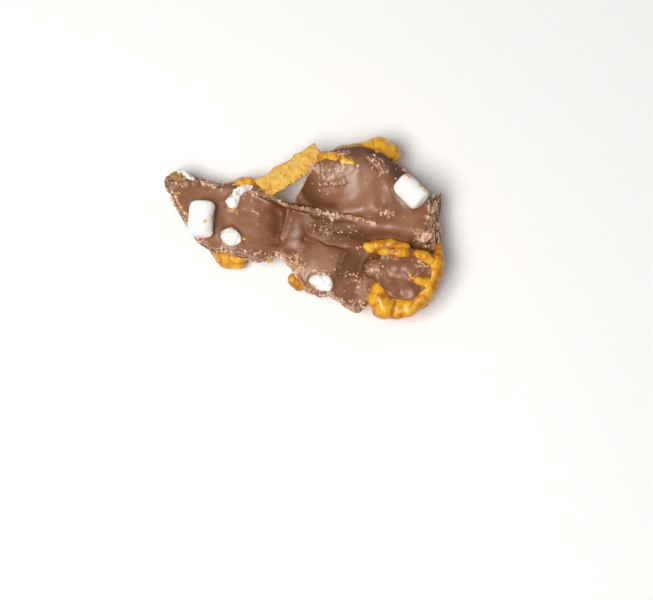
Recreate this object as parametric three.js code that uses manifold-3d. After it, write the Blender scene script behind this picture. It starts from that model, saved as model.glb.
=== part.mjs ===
// A cluster of s'mores chocolate crunch: a broken piece of milk chocolate bark with caramel popcorn,
// ridged graham cereal and small dried marshmallows set in it. It lies on the flat that it set on.
// Millimetres. +X is the length, +Y the width, +Z up, and the origin is under the middle of the cluster.
import * as THREE from 'three';
import Module from 'manifold-3d';
import { mergeVertices } from 'three/addons/utils/BufferGeometryUtils.js';

const wasm = await Module();
wasm.setup();

// Driving sizes.
const GAP = 0.3; // clearance between the chocolate and a piece set in it
const POPCORN_GAP = 0.45; // the same round popcorn, whose pocket has coarser facets
const SLAB_TOP = 10; // the thin slab's face over the board
const SLAB_UNDER = 4.2; // how far the thin slab stands clear of the board
const BODY_TOP = 9.4; // the thick end's poured level, before its domes
const CEREAL_PITCH = 1.75; // ridge to ridge on the graham cereal
const CEREAL_RIDGE = 0.15; // half the height of a ridge
const CEREAL_THICK = 2; // between the middles of the ridges
const CRAG = 2.6; // width and depth of the crags on a broken edge
const CRAG_DEPTH = 0.5;
const BULGE = [4.6, 4.6, 3.4]; // size of the lumps on the thick end's walls, under the poured face
const BULGE_DEPTH = 1.9;
const BULGE_SET_BACK = 0.8;
const BULGES_FROM = [-6, -2]; // where along the cluster they set in
const WALL_TUCK = 0.012; // how fast the walls draw in towards the board
const CHOCOLATE_STEP = 1.7; // size of the chocolate's facets
const POPCORN_STEP = 1.4;
const POPCORN_BUMP = 1.9; // width and depth of the bumps on a flake
const POPCORN_BUMP_DEPTH = 0.22;
const LOBE_CREASE = 0.8; // how softly one lobe of popcorn runs into the next
const TEAR = 0.14; // share by which a torn marshmallow is ragged
const POINTS_A_RIDGE = 4;
const MIDDLE = [0.16, 0.11]; // the middle of the cluster in the frame that the pieces are placed in

const COLOURS = {
  chocolate: { color: 0x8a5a40, roughness: 0.45, metalness: 0 },
  popcorn: { color: 0xe8a92c, roughness: 0.25, metalness: 0 },
  graham: { color: 0xe3b05a, roughness: 0.85, metalness: 0 },
  marshmallow: { color: 0xfbf7ef, roughness: 0.8, metalness: 0 },
};

// Distance fields: a field gives how far a point lies outside a form, and is negative inside it.
function join(a, b, soft) {
  const h = Math.max(soft - Math.abs(a - b), 0) / soft;
  return Math.min(a, b) - (h * h * soft) / 4;
}

function overlap(a, b, soft) {
  return -join(-a, -b, soft);
}

function carve(a, b, soft) {
  return -join(-a, b, soft);
}

function ease(from, to, x) {
  const t = Math.min(Math.max((x - from) / (to - from), 0), 1);
  return t * t * (3 - 2 * t);
}

function ellipsoid([cx, cy, cz], [rx, ry, rz], x, y, z) {
  const u = [(x - cx) / rx, (y - cy) / ry, (z - cz) / rz];
  const k0 = Math.hypot(...u);
  const k1 = Math.hypot(u[0] / rx, u[1] / ry, u[2] / rz);
  return k1 < 1e-9 ? -Math.min(rx, ry, rz) : (k0 * (k0 - 1)) / k1;
}

function rod(a, b, radiusA, radiusB, x, y, z) {
  const ab = [b[0] - a[0], b[1] - a[1], b[2] - a[2]];
  const ap = [x - a[0], y - a[1], z - a[2]];
  const along = ab[0] * ap[0] + ab[1] * ap[1] + ab[2] * ap[2];
  const t = Math.min(Math.max(along / (ab[0] ** 2 + ab[1] ** 2 + ab[2] ** 2), 0), 1);
  const off = Math.hypot(ap[0] - t * ab[0], ap[1] - t * ab[1], ap[2] - t * ab[2]);
  return off - radiusA - t * (radiusB - radiusA);
}

// A row of lobes that run into one another. Each lobe is a centre and a radius.
function strand(lobes, soft, x, y, z) {
  let form = 1e3;
  for (let n = 1; n < lobes.length; n++) {
    const [a, b] = [lobes[n - 1], lobes[n]];
    form = join(form, rod(a, b, a[3], b[3], x, y, z), soft);
  }
  return form;
}

// How far a point lies out from a flat face through the point at, facing the way given.
function flatFace(at, facing, x, y, z) {
  return (x - at[0]) * facing[0] + (y - at[1]) * facing[1] + (z - at[2]) * facing[2];
}

// A wall whose crest runs through the points given, solid all the way down.
function wall(crest, halfThick, x, y, z) {
  let nearest = Infinity;
  for (let i = 1; i < crest.length; i++) {
    const [ax, ay, az] = crest[i - 1];
    const [bx, by, bz] = crest[i];
    const along = (x - ax) * (bx - ax) + (y - ay) * (by - ay);
    const t = Math.min(Math.max(along / ((bx - ax) ** 2 + (by - ay) ** 2), 0), 1);
    const aside = Math.hypot(x - ax - t * (bx - ax), y - ay - t * (by - ay));
    const above = Math.max(z - az - t * (bz - az), 0);
    nearest = Math.min(nearest, Math.hypot(aside, above));
  }
  return nearest - halfThick;
}

// The distance in plan to a closed smooth outline.
function plan(points) {
  const curve = new THREE.CatmullRomCurve3(
    points.map(([x, y]) => new THREE.Vector3(x, y, 0)), true, 'centripetal');
  const ring = curve.getPoints(points.length * 4);
  return (x, y) => {
    let nearest = Infinity;
    let inside = false;
    for (let i = 1; i < ring.length; i++) {
      const a = ring[i - 1];
      const b = ring[i];
      const along = (x - a.x) * (b.x - a.x) + (y - a.y) * (b.y - a.y);
      const t = Math.min(Math.max(along / a.distanceToSquared(b), 0), 1);
      nearest = Math.min(nearest, Math.hypot(x - a.x - t * (b.x - a.x), y - a.y - t * (b.y - a.y)));
      if (a.y > y !== b.y > y && x < a.x + ((y - a.y) * (b.x - a.x)) / (b.y - a.y)) inside = !inside;
    }
    return inside ? -nearest : nearest;
  };
}

// Smooth lumpy noise from -1 to 1, one lump to each unit.
function lumps(x, y, z) {
  const hash = (i, j, k) => {
    const s = Math.sin(i * 127.1 + j * 311.7 + k * 74.7) * 43758.5453;
    return 2 * (s - Math.floor(s)) - 1;
  };
  const [i, j, k] = [Math.floor(x), Math.floor(y), Math.floor(z)];
  const [u, v, w] = [ease(0, 1, x - i), ease(0, 1, y - j), ease(0, 1, z - k)];
  const { lerp } = THREE.MathUtils;
  const row = (b, c) => lerp(hash(i, j + b, k + c), hash(i + 1, j + b, k + c), u);
  return lerp(lerp(row(0, 0), row(1, 0), v), lerp(row(0, 1), row(1, 1), v), w);
}

// The closed skin of a field between two corners: one point in each grid cell that the skin crosses,
// and one four-sided face round each grid edge that it crosses.
function skin(field, low, high, step) {
  const count = [0, 1, 2].map((a) => Math.ceil((high[a] - low[a]) / step) + 1);
  const stride = [1, count[0], count[0] * count[1]];
  const total = stride[2] * count[2];
  const value = new Float64Array(total);
  const corner = (n) => [n % count[0], Math.floor(n / stride[1]) % count[1], Math.floor(n / stride[2])];
  for (let n = 0; n < total; n++) {
    const c = corner(n);
    value[n] = field(low[0] + c[0] * step, low[1] + c[1] * step, low[2] + c[2] * step) || 1e-6;
  }
  fillTouching(value, count, stride, step);

  const positions = [];
  const pointOf = new Map();
  const cells = (n) => corner(n).every((c, a) => c < count[a] - 1);
  for (let n = 0; n < total; n++) {
    if (!cells(n)) continue;
    const sum = [0, 0, 0];
    let crossings = 0;
    for (let a = 0; a < 3; a++) {
      const [b, c] = [(a + 1) % 3, (a + 2) % 3];
      for (const [ib, ic] of [[0, 0], [1, 0], [0, 1], [1, 1]]) {
        const p = n + ib * stride[b] + ic * stride[c];
        const [v0, v1] = [value[p], value[p + stride[a]]];
        if (v0 < 0 === v1 < 0) continue;
        sum[a] += v0 / (v0 - v1);
        sum[b] += ib;
        sum[c] += ic;
        crossings++;
      }
    }
    if (!crossings) continue;
    pointOf.set(n, positions.length / 3);
    corner(n).forEach((c, a) => positions.push(low[a] + (c + sum[a] / crossings) * step));
  }

  const apart = (p, q) => Math.hypot(...[0, 1, 2].map((a) => positions[3 * p + a] - positions[3 * q + a]));
  const index = [];
  for (let n = 0; n < total; n++) {
    for (let a = 0; a < 3; a++) {
      if (corner(n)[a] === count[a] - 1 || value[n] < 0 === value[n + stride[a]] < 0) continue;
      const [b, c] = [stride[(a + 1) % 3], stride[(a + 2) % 3]];
      const ring = [n - b - c, n - c, n, n - b].map((cell) => pointOf.get(cell));
      if (value[n] >= 0) ring.reverse();
      const [p, q, r, s] = ring;
      if (apart(p, r) < apart(q, s)) index.push(p, q, r, p, r, s);
      else index.push(p, q, s, q, r, s);
    }
  }
  return new THREE.BufferGeometry()
    .setAttribute('position', new THREE.Float32BufferAttribute(positions, 3))
    .setIndex(index);
}

// Two bits of the form that would touch only along a line are fused, so that the skin stays closed.
function fillTouching(value, count, stride, step) {
  const inside = -0.05 * step;
  for (let changed = true; changed;) {
    changed = false;
    for (let a = 0; a < 3; a++) {
      const [b, c] = [stride[a], stride[(a + 1) % 3]];
      for (let n = 0; n + b + c < value.length; n++) {
        const [p, q, r, s] = [value[n], value[n + b], value[n + c], value[n + b + c]];
        if (p < 0 !== s < 0 || q < 0 !== r < 0 || p < 0 === q < 0) continue;
        const open = p < 0 ? [n + b, n + c] : [n, n + b + c];
        value[value[open[0]] < value[open[1]] ? open[0] : open[1]] = inside;
        changed = true;
      }
    }
  }
}

// Solids, for joining and cutting.
function solid(geometry) {
  const bare = geometry.clone().deleteAttribute('normal').deleteAttribute('uv');
  const merged = mergeVertices(bare, 1e-4);
  return new wasm.Manifold(new wasm.Mesh({
    numProp: 3,
    vertProperties: merged.attributes.position.array,
    triVerts: new Uint32Array(merged.index.array),
  }));
}

function largest(made) {
  return made.decompose().sort((a, b) => b.volume() - a.volume())[0];
}

function geometryOf(made) {
  const mesh = made.getMesh();
  const geometry = new THREE.BufferGeometry()
    .setAttribute('position', new THREE.BufferAttribute(mesh.vertProperties, 3))
    .setIndex(new THREE.BufferAttribute(mesh.triVerts, 1));
  geometry.computeVertexNormals();
  return geometry;
}

const cluster = new THREE.Group();
cluster.position.set(-MIDDLE[0], -MIDDLE[1], 0);

function add(name, finish, geometry) {
  const mesh = new THREE.Mesh(geometry, new THREE.MeshStandardMaterial(COLOURS[finish]));
  mesh.name = name;
  cluster.add(mesh);
}

// Dried marshmallow: a short rod of round section with soft ends, lying on its side.
function wholeMarshmallow({ at, length, wide, thick, turn, lean = 0 }, grow) {
  const [radius, half, soft] = [wide / 2 + grow, length / 2 + grow, wide * 0.2];
  const profile = [new THREE.Vector2(0, -half)];
  for (const [side, start] of [[-1, -90], [1, 0]]) {
    for (let angle = start; angle <= start + 90; angle += 45) {
      const t = THREE.MathUtils.degToRad(angle);
      profile.push(new THREE.Vector2(
        radius - soft + soft * Math.cos(t), side * (half - soft) + soft * Math.sin(t)));
    }
  }
  profile.push(new THREE.Vector2(0, half));
  const geometry = new THREE.LatheGeometry(profile, 12);
  geometry.scale(1, 1, (thick / 2 + grow) / radius);
  geometry.rotateX(THREE.MathUtils.degToRad(lean));
  geometry.rotateZ(THREE.MathUtils.degToRad(turn));
  return geometry.translate(...at);
}

// A marshmallow that was torn when the bark was broken: a ragged lump.
function tornMarshmallow({ at, radii, turn }, grow) {
  const geometry = new THREE.SphereGeometry(1, 10, 7);
  const position = geometry.attributes.position;
  for (let n = 0; n < position.count; n++) {
    const p = new THREE.Vector3().fromBufferAttribute(position, n);
    const ragged = 1 + TEAR * lumps(p.x * 1.7 + at[0], p.y * 1.7 + at[1], p.z * 1.7);
    position.setXYZ(n, ...p.toArray().map((c, a) => c * (radii[a] * ragged + grow)));
  }
  geometry.rotateZ(THREE.MathUtils.degToRad(turn));
  return geometry.translate(...at);
}

const MARSHMALLOWS = {
  marshmallow_left: { at: [-24.0, 1.6, 12.0], length: 8.7, wide: 6.3, thick: 5.6, turn: -4 },
  marshmallow_right: { at: [25.5, 7.5, 15.2], length: 7.6, wide: 5.8, thick: 5.2, turn: 45, lean: -6 },
};
const TORN = {
  marshmallow_small: { at: [-17.0, -2.4, 10.4], radii: [2.6, 2.1, 1.7], turn: -30 },
  marshmallow_streak: { at: [-15.5, 7.6, 9.9], radii: [3.5, 1.8, 1.2], turn: 44 },
  marshmallow_front: { at: [4.6, -13.3, 10.1], radii: [3.0, 1.9, 1.7], turn: -22 },
  marshmallow_back: { at: [-28.3, 13.4, 7.8], radii: [2.5, 1.0, 1.1], turn: -32 },
};

// Graham cereal: a biscuit ridged on both faces, broken off square at the ends of its ridges.
function cereal({ at, across, along, turn, tip = 0, roll = 0 }, grow) {
  const half = across / 2 + grow;
  const lip = CEREAL_THICK / 2 + grow;
  const wave = (u) => lip + CEREAL_RIDGE * Math.cos((2 * Math.PI * u) / CEREAL_PITCH);
  const shape = new THREE.Shape();
  const pointsAcross = Math.round((across / CEREAL_PITCH) * POINTS_A_RIDGE);
  shape.moveTo(-half, -wave(-half));
  for (let n = 1; n <= pointsAcross; n++) {
    const u = -half + (2 * half * n) / pointsAcross;
    shape.lineTo(u, -wave(u));
  }
  for (let n = pointsAcross; n >= 0; n--) {
    const u = -half + (2 * half * n) / pointsAcross;
    shape.lineTo(u, wave(u));
  }
  const depth = along + 2 * grow;
  const geometry = new THREE.ExtrudeGeometry(shape, { depth, bevelEnabled: false });
  geometry.translate(0, 0, -depth / 2);
  geometry.rotateX(THREE.MathUtils.degToRad(90));
  geometry.rotateX(THREE.MathUtils.degToRad(tip));
  geometry.rotateY(THREE.MathUtils.degToRad(roll));
  geometry.rotateZ(THREE.MathUtils.degToRad(turn));
  return geometry.translate(...at);
}

const CEREALS = {
  graham_back: { at: [-3.1, 13.6, 10.6], across: 16.2, along: 5.4, turn: 33, tip: 8, roll: -1 },
  graham_left: { at: [-30.4, 12.3, 8.0], across: 3.8, along: 4, turn: 28, tip: -35 },
  graham_front: { at: [-10.6, -4.4, 6.2], across: 8.6, along: 6.4, turn: -6 },
};

// Caramel popcorn: a flake is made of strands of puffed lobes, with creases between them.
function popcorn(strands, grow, hollow = () => Infinity) {
  const lobes = strands.flat();
  const low = [0, 1, 2].map((a) => Math.min(...lobes.map((l) => l[a] - l[3])) - 2 * POPCORN_STEP);
  const high = [0, 1, 2].map((a) => Math.max(...lobes.map((l) => l[a] + l[3])) + 2 * POPCORN_STEP);
  const field = (x, y, z) => {
    let puffed = 1e3;
    for (const row of strands) puffed = join(puffed, strand(row, LOBE_CREASE, x, y, z), LOBE_CREASE);
    const bumps = POPCORN_BUMP_DEPTH * lumps(x / POPCORN_BUMP, y / POPCORN_BUMP, z / POPCORN_BUMP);
    return carve(puffed + bumps, hollow(x, y, z), 0.3) - grow;
  };
  return skin(field, low, high, POPCORN_STEP);
}

// The cup-shaped flake at the front right: a bowl that is full of chocolate, with a thick rim nearly all
// round it, in a strip behind, a small bit beside that, and a band from there round the right to the front.
const CUP_BOWL = [23.6, -12.4, 7.0, 7.3];
const CUP_SHELL = { radius: 6.3, z: 7.2, thick: 2.7 };
const CUP_STRIP = [[13.0, -5.0, 11.8, 0.8], [15.8, -5.2, 12.2, 1.5], [19.6, -5.3, 12.4, 1.9],
  [23.6, -5.9, 12.4, 1.9]];
const CUP_BIT = [[26.9, -6.9, 12.5, 1.2], [30.0, -8.4, 12.2, 1.5], [32.0, -8.8, 11.2, 1.4]];
const CUP_BAND = [[32.2, -4.8, 10.8, 0.8], [31.9, -8.8, 11.2, 1.4], [31.2, -11.2, 11.3, 1.8],
  [29.7, -14.5, 11.3, 1.9], [27.8, -17.4, 11.0, 1.9], [25.0, -19.6, 10.6, 2.1], [22.4, -19.8, 10.2, 2.4],
  [19.2, -19.2, 9.8, 2.9], [18.3, -17.0, 10.3, 2.9], [18.0, -15.2, 10.8, 2.1]];
const CUP_HOLLOW = { at: [24.0, -11.3, 11.8], radii: [6.5, 6.2, 4.2] };

function cupStrands() {
  const shell = [];
  for (let turn = 0; turn <= 360; turn += 24) {
    const t = THREE.MathUtils.degToRad(turn);
    const { radius, z, thick } = CUP_SHELL;
    shell.push([CUP_BOWL[0] + radius * Math.cos(t), CUP_BOWL[1] + radius * Math.sin(t), z, thick]);
  }
  const bowl = [CUP_BOWL, CUP_BOWL.map((v, a) => (a === 2 ? v + 0.1 : v))];
  return [bowl, shell, CUP_STRIP, CUP_BIT, CUP_BAND];
}

const POPCORN = {
  popcorn_cup: {
    strands: cupStrands(),
    hollow: (x, y, z) => ellipsoid(CUP_HOLLOW.at, CUP_HOLLOW.radii, x, y, z),
  },
  popcorn_dome: {
    strands: [
      [[21.0, 18.6, 8.6, 2.4], [18.2, 18.9, 8.8, 3.6], [13.6, 17.6, 9.2, 3.2], [9.8, 17.0, 10.0, 3.2],
        [7.6, 15.6, 12.6, 2.6], [5.4, 15.7, 15.0, 1.8], [8.0, 15.1, 16.5, 1.8], [10.2, 14.1, 17.5, 1.4],
        [12.4, 13.2, 18.2, 0.8]],
      [[16.4, 16.4, 3.4, 4.2], [14.2, 17.4, 8.0, 3.4]],
    ],
  },
  popcorn_front: {
    strands: [
      [[-15.8, -6.3, 3.0, 2.3], [-17.8, -5.6, 2.8, 2.8], [-19.6, -1.4, 2.4, 2.8]],
      [[-17.8, -5.6, 2.8, 2.8], [-21.2, -2.0, 2.4, 2.5]],
    ],
  },
  popcorn_back: { strands: [[[-12.8, 11.0, 7.4, 2.1], [-14.2, 10.8, 7.0, 2.4], [-16.4, 10.4, 6.0, 2.1]]] },
  popcorn_chip: { strands: [[[-2.0, -11.6, 5.8, 1.5], [-0.8, -12.8, 5.0, 1.6]]] },
};

// The chocolate. In plan it is a thin slab on the left and a thick poured end on the right.
const SLAB_PLAN = plan([[-33.1, 11.2], [-31.7, 14.8], [-29.0, 15.2], [-25.4, 13.9], [-20.4, 11.7],
  [-12.5, 10.0], [-6.4, 7.2], [-1.0, 5.0], [2.6, -1.0], [-1.6, -7.2], [-6.0, -6.6], [-11.2, -8.2],
  [-16.6, -6.2], [-21.4, -5.4], [-24.8, -3.4], [-28.0, 1.2], [-31.0, 7.0]]);
const BODY_PLAN = plan([[-2.6, 5.6], [0.6, 11.0], [4.4, 16.4], [9.0, 18.8], [13.4, 19.5], [18.4, 18.5],
  [23.4, 15.7], [26.0, 12.4], [28.2, 9.0], [30.2, 6.8], [33.4, 9.8], [33.6, 7.6], [32.3, 3.2], [33.2, -2.0],
  [32.0, -5.8], [27.0, -8.0], [18.6, -13.0], [14.6, -19.4], [10.6, -19.8], [6.4, -16.2], [1.8, -16.0],
  [-1.4, -12.0], [-3.6, -8.6], [-5.4, -5.6], [-4.4, 0.6]]);

// Broken lips: the crest along the slab's back edge and on across the thick end, and the front edge.
const CREST = [[-13.5, 9.1, 9.6], [-10.8, 8.3, 10.9], [-8.2, 7.4, 11.3], [-4.4, 5.3, 11.6],
  [-2.0, 4.6, 12.2], [3.7, 3.0, 13.2], [8.0, 1.7, 14.1], [12.0, 1.3, 14.9], [17.4, -0.5, 14.4]];
const CREST_HALF = 0.85;
const FRONT_LIP = [[-5.4, -6.2, 9.8], [-2.8, -8.6, 9.9], [-1.2, -12.0, 9.4], [1.0, -15.0, 9.2],
  [6.4, -15.8, 9.4], [10.8, -19.2, 9.6], [14.6, -18.8, 10.2]];
const FRONT_LIP_HALF = 0.7;

// The front of the thick end is a saddle, with a sharp crease down its right flank.
const SADDLE = { at: [4.8, -8.4, 5.2], radii: [10.8, 9.4, 5.8] };
const SADDLE_CREASE = { at: [9.0, -9.0, 10.3], facing: [0.59, -0.24, 0.77] };
// Behind it is the dome, whose broad face slopes to the front.
const DOME = { at: [11.8, 10.8, 8.2], radii: [12.2, 8.9, 12.2] };
const DOME_FACE = { at: [12.6, 10.0, 18.2], facing: [0.04, -0.36, 0.93] };
const MOUNDS = [ // where the poured chocolate rides over what lies under it
  { at: [22.4, 4.6, 8.8], radii: [10.4, 7.6, 6.2], soft: 3.0 },
  { at: [2.6, 13.4, 8.8], radii: [3.0, 2.2, 3.2], soft: 1.0 },
];
// A roll with a steep front runs between the two, with a nub at its left end and a valley under it.
const ROLL = [[-0.8, 3.3, 9.2, 1.4], [6.6, 1.1, 10.1, 3.0], [14.0, -0.6, 10.6, 4.5], [22.0, -1.2, 10.8, 4.5],
  [30.0, -2.4, 10.8, 3.8]];
const ROLL_FACE = { at: [20.0, -3.4, 12.5], facing: [-0.06, -0.86, 0.5] };
const NUB = { from: [-0.8, 1.6, 8.8], to: [-0.8, -2.8, 8.2], radii: [2.2, 2.5] };
const VALLEY = [[-0.2, 2.2, 11.8, 1.0], [2.2, -1.0, 10.6, 1.5], [6.0, -2.5, 10.4, 1.8],
  [10.0, -3.8, 10.8, 1.6], [13.6, -4.9, 11.8, 1.0]];
const FIN = { from: [30.4, 5.0, 13.0], to: [33.2, 9.2, 11.8], radii: [1.4, 0.7] };
const FOLD = [[-3.4, 4.0, 10.8], [-4.2, 1.0, 10.1], [-5.2, -2.4, 9.5]];
const FOLD_HALF = 0.7;
const GULLY = { from: [13.4, -10.6, 13.0], to: [13.2, -18.0, 12.4], radii: [2.0, 2.7] };
// Hollows: one at the slab's right end, with a flat sloping floor, and one beside the saddle's crease.
const DIP = { at: [-6.6, 0.8, 10.2], radii: [3.3, 5.0, 4.0] };
const DIP_FLOOR = { at: [-9.2, 0.8, 10.1], facing: [-0.58, 0.0, -0.81] };
const PIT = { at: [13.0, -8.6, 12.0], radii: [4.2, 3.9, 4.3] };
// The chocolate that fills the cup-shaped flake.
const FILL = { at: [22.6, -11.3, 8.2], radii: [8.6, 7.5, 4.0] };
const CUP_LEVEL = 12.2;
const LOBES = [
  { at: [26.4, -10.2, 11.8], radii: [3.6, 2.6, 1.4] },
  { at: [22.2, -9.6, 11.5], radii: [2.4, 3.0, 1.3] },
  { at: [17.2, -10.4, 11.2], radii: [2.8, 2.4, 1.5] },
  { at: [25.4, -15.6, 11.4], radii: [2.7, 2.6, 1.5] },
  { at: [21.6, -15.2, 11.4], radii: [1.8, 2.3, 1.3] },
];

const UNDERCUT = [-1.5, -7.5]; // where the underside rises from the board to the slab's

// Faces left where the bark snapped: a point on each, and the way that it faces.
const BREAKS = [
  { at: [-27.3, 10.8, SLAB_TOP], facing: [0.1, 0.7, 0.7], until: -19 },
  { at: [29.2, 2.0, 15.0], facing: [0.84, 0.0, 0.54], until: Infinity },
];

function chocolateField(x, y, z) {
  const craggy = CRAG_DEPTH * lumps(x / CRAG, y / CRAG, z / CRAG);
  const slabFace = SLAB_TOP + 0.25 * lumps(x / 7, y / 7, 3.5);
  let top = z - slabFace - (BODY_TOP - slabFace) * ease(-3, 3, x);
  const shape = ({ at, radii }) => ellipsoid(at, radii, x, y, z);
  const face = ({ at, facing }) => flatFace(at, facing, x, y, z);
  top = join(top, overlap(shape(SADDLE) + 0.3 * craggy, face(SADDLE_CREASE), 0.4), 1.0);
  top = join(top, overlap(shape(DOME), face(DOME_FACE), 3.0) + 0.3 * craggy, 1.6);
  for (const mound of MOUNDS) top = join(top, shape(mound) + 0.3 * craggy, mound.soft);
  top = carve(top, overlap(shape(DIP), face(DIP_FLOOR), 0.8), 0.8);
  top = carve(top, shape(PIT), 1.0);
  top = join(top, overlap(strand(ROLL, 0.5, x, y, z), face(ROLL_FACE), 1.5), 2.0);
  top = join(top, rod(NUB.from, NUB.to, ...NUB.radii, x, y, z), 1.6);
  top = carve(top, strand(VALLEY, 0.5, x, y, z), 0.4);
  top = join(top, wall(CREST, CREST_HALF, x, y, z) + 0.5 * craggy, 0.5);
  top = join(top, wall(FRONT_LIP, FRONT_LIP_HALF, x, y, z) + 0.5 * craggy, 0.5);
  top = join(top, rod(FIN.from, FIN.to, ...FIN.radii, x, y, z), 0.8);
  top = carve(top, rod(GULLY.from, GULLY.to, ...GULLY.radii, x, y, z), 1.2);
  top = join(top, wall(FOLD, FOLD_HALF, x, y, z), 0.8);

  const tuck = WALL_TUCK * Math.max(BODY_TOP - 1 - z, 0) ** 2;
  const bulges = BULGE_DEPTH * ease(...BULGES_FROM, x) * lumps(x / BULGE[0], y / BULGE[1], z / BULGE[2] + 20);
  const crags = craggy + ease(BODY_TOP, 6, z) * (bulges + BULGE_SET_BACK);
  const edge = join(SLAB_PLAN(x, y), BODY_PLAN(x, y), 1.2) + crags + tuck;
  let form = overlap(edge, top, 0.9);
  form = join(form, shape(FILL), 0.9);
  form = join(form, overlap(shape(CUP_HOLLOW), z - CUP_LEVEL, 0.8), 0.9);
  for (const lobe of LOBES) form = join(form, shape(lobe), 0.4);
  for (const snap of BREAKS) {
    if (x < snap.until) form = overlap(form, face(snap) - craggy, 0.4);
  }
  const underside = SLAB_UNDER * ease(...UNDERCUT, x) * (1 + 0.3 * lumps(x / 4, y / 4, 9.5));
  return x < UNDERCUT[0] ? overlap(form, underside - z, 0.8) : form;
}

const pieces = []; // each has a name, a finish, its clearance and a function that gives it, or its pocket
for (const [name, sizes] of Object.entries(MARSHMALLOWS)) {
  pieces.push([name, 'marshmallow', GAP, (grow) => wholeMarshmallow(sizes, grow)]);
}
for (const [name, sizes] of Object.entries(TORN)) {
  pieces.push([name, 'marshmallow', GAP, (grow) => tornMarshmallow(sizes, grow)]);
}
for (const [name, sizes] of Object.entries(CEREALS)) {
  pieces.push([name, 'graham', GAP, (grow) => cereal(sizes, grow)]);
}
for (const [name, { strands, hollow }] of Object.entries(POPCORN)) {
  pieces.push([name, 'popcorn', POPCORN_GAP, (grow) => popcorn(strands, grow, hollow)]);
}

// Everything ends at the board that the bark set on. A piece gives way to those placed before it, and the
// chocolate to them all.
const CORNERS = [[-36.3, -23.2, -2.1], [36.3, 22.6, 23.3]]; // of a box that the chocolate fits in
const board = new THREE.BoxGeometry(120, 120, 20).translate(0, 0, -10);
const taken = [solid(board)];
const cutFree = (geometry) => largest(taken.reduce((left, other) => left.subtract(other), solid(geometry)));
for (const [name, finish, clearance, shape] of pieces) {
  add(name, finish, geometryOf(cutFree(shape(0))));
  taken.push(solid(shape(clearance)));
}
add('chocolate', 'chocolate', geometryOf(cutFree(
  skin(chocolateField, ...CORNERS, CHOCOLATE_STEP))));

export default cluster;
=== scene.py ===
import math
from functools import partial

import bpy
import numpy as np
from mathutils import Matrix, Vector


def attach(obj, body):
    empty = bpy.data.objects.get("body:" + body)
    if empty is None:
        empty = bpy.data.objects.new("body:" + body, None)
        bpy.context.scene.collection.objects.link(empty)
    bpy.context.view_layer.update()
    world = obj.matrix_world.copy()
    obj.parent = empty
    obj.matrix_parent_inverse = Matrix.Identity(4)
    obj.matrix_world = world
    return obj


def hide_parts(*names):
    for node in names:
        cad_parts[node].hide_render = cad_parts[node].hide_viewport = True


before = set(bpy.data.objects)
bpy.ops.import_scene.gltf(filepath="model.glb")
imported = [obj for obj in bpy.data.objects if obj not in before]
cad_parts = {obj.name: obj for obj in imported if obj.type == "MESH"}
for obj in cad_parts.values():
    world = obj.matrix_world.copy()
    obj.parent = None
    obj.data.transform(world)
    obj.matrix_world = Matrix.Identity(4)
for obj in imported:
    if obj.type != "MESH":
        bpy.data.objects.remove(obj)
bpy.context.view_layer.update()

# The camera looks down on the cluster from the front, as the photograph does. Its lens is long, and one
# millimetre of the cluster takes the same number of pixels.
PHOTO_SIZE = (653, 600)
PIXELS_PER_MM = 4.2
LENS = 85
SENSOR = 36
ELEVATION = math.radians(79)
CLUSTER_HEIGHT = 0.01  # the height over the cluster's middle that CLUSTER_PIXEL shows
CLUSTER_PIXEL = (303.2, 227.0)

back = Vector((0, -math.cos(ELEVATION), math.sin(ELEVATION)))
up = Vector((0, math.sin(ELEVATION), math.cos(ELEVATION)))
right = Vector((1, 0, 0))
mm_per_pixel = 0.001 / PIXELS_PER_MM
looked_at = (Vector((0, 0, CLUSTER_HEIGHT))
             + right * (PHOTO_SIZE[0] / 2 - CLUSTER_PIXEL[0]) * mm_per_pixel
             - up * (PHOTO_SIZE[1] / 2 - CLUSTER_PIXEL[1]) * mm_per_pixel)
camera = bpy.data.objects.new("camera", bpy.data.cameras.new("camera"))
bpy.context.scene.collection.objects.link(camera)
camera.data.lens = LENS
camera.data.sensor_width = SENSOR
camera.data.clip_start = 0.01
camera.location = looked_at + back * (LENS / SENSOR * PHOTO_SIZE[0] * mm_per_pixel)
camera.rotation_mode = "QUATERNION"
camera.rotation_quaternion = (-back).to_track_quat("-Z", "Y")
bpy.context.scene.camera = camera
bpy.context.scene.view_settings.view_transform = "Standard"

# A plain pale board and soft daylight: a broad window overhead, a little to the front and left, a weaker
# one behind on the right, and a pale room all round.
BOARD_SIZE = 1.6
BOARD_COLOUR = (0.92, 0.915, 0.905)
BOARD_ROUGHNESS = 0.7
ROOM_LIGHT = 0.16
ROOM_COLOUR = (1.0, 0.985, 0.965)
WINDOWS = [  # place and size in metres, and power in watts
    {"name": "window", "at": (-0.17, -0.17, 0.54), "size": (0.32, 0.28), "power": 3.8,
     "colour": (1.0, 0.99, 0.98)},
    {"name": "fill", "at": (0.45, 0.3, 0.5), "size": (0.3, 0.3), "power": 0.4,
     "colour": (1.0, 0.97, 0.94)},
]

bpy.ops.mesh.primitive_grid_add(x_subdivisions=4, y_subdivisions=4, size=BOARD_SIZE)
board = bpy.context.object
board.name = "board"
board_finish = bpy.data.materials.new("board")
board_finish.use_nodes = True
board_shader = board_finish.node_tree.nodes["Principled BSDF"]
board_shader.inputs["Base Color"].default_value = (*BOARD_COLOUR, 1)
board_shader.inputs["Roughness"].default_value = BOARD_ROUGHNESS
board.data.materials.append(board_finish)

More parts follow.
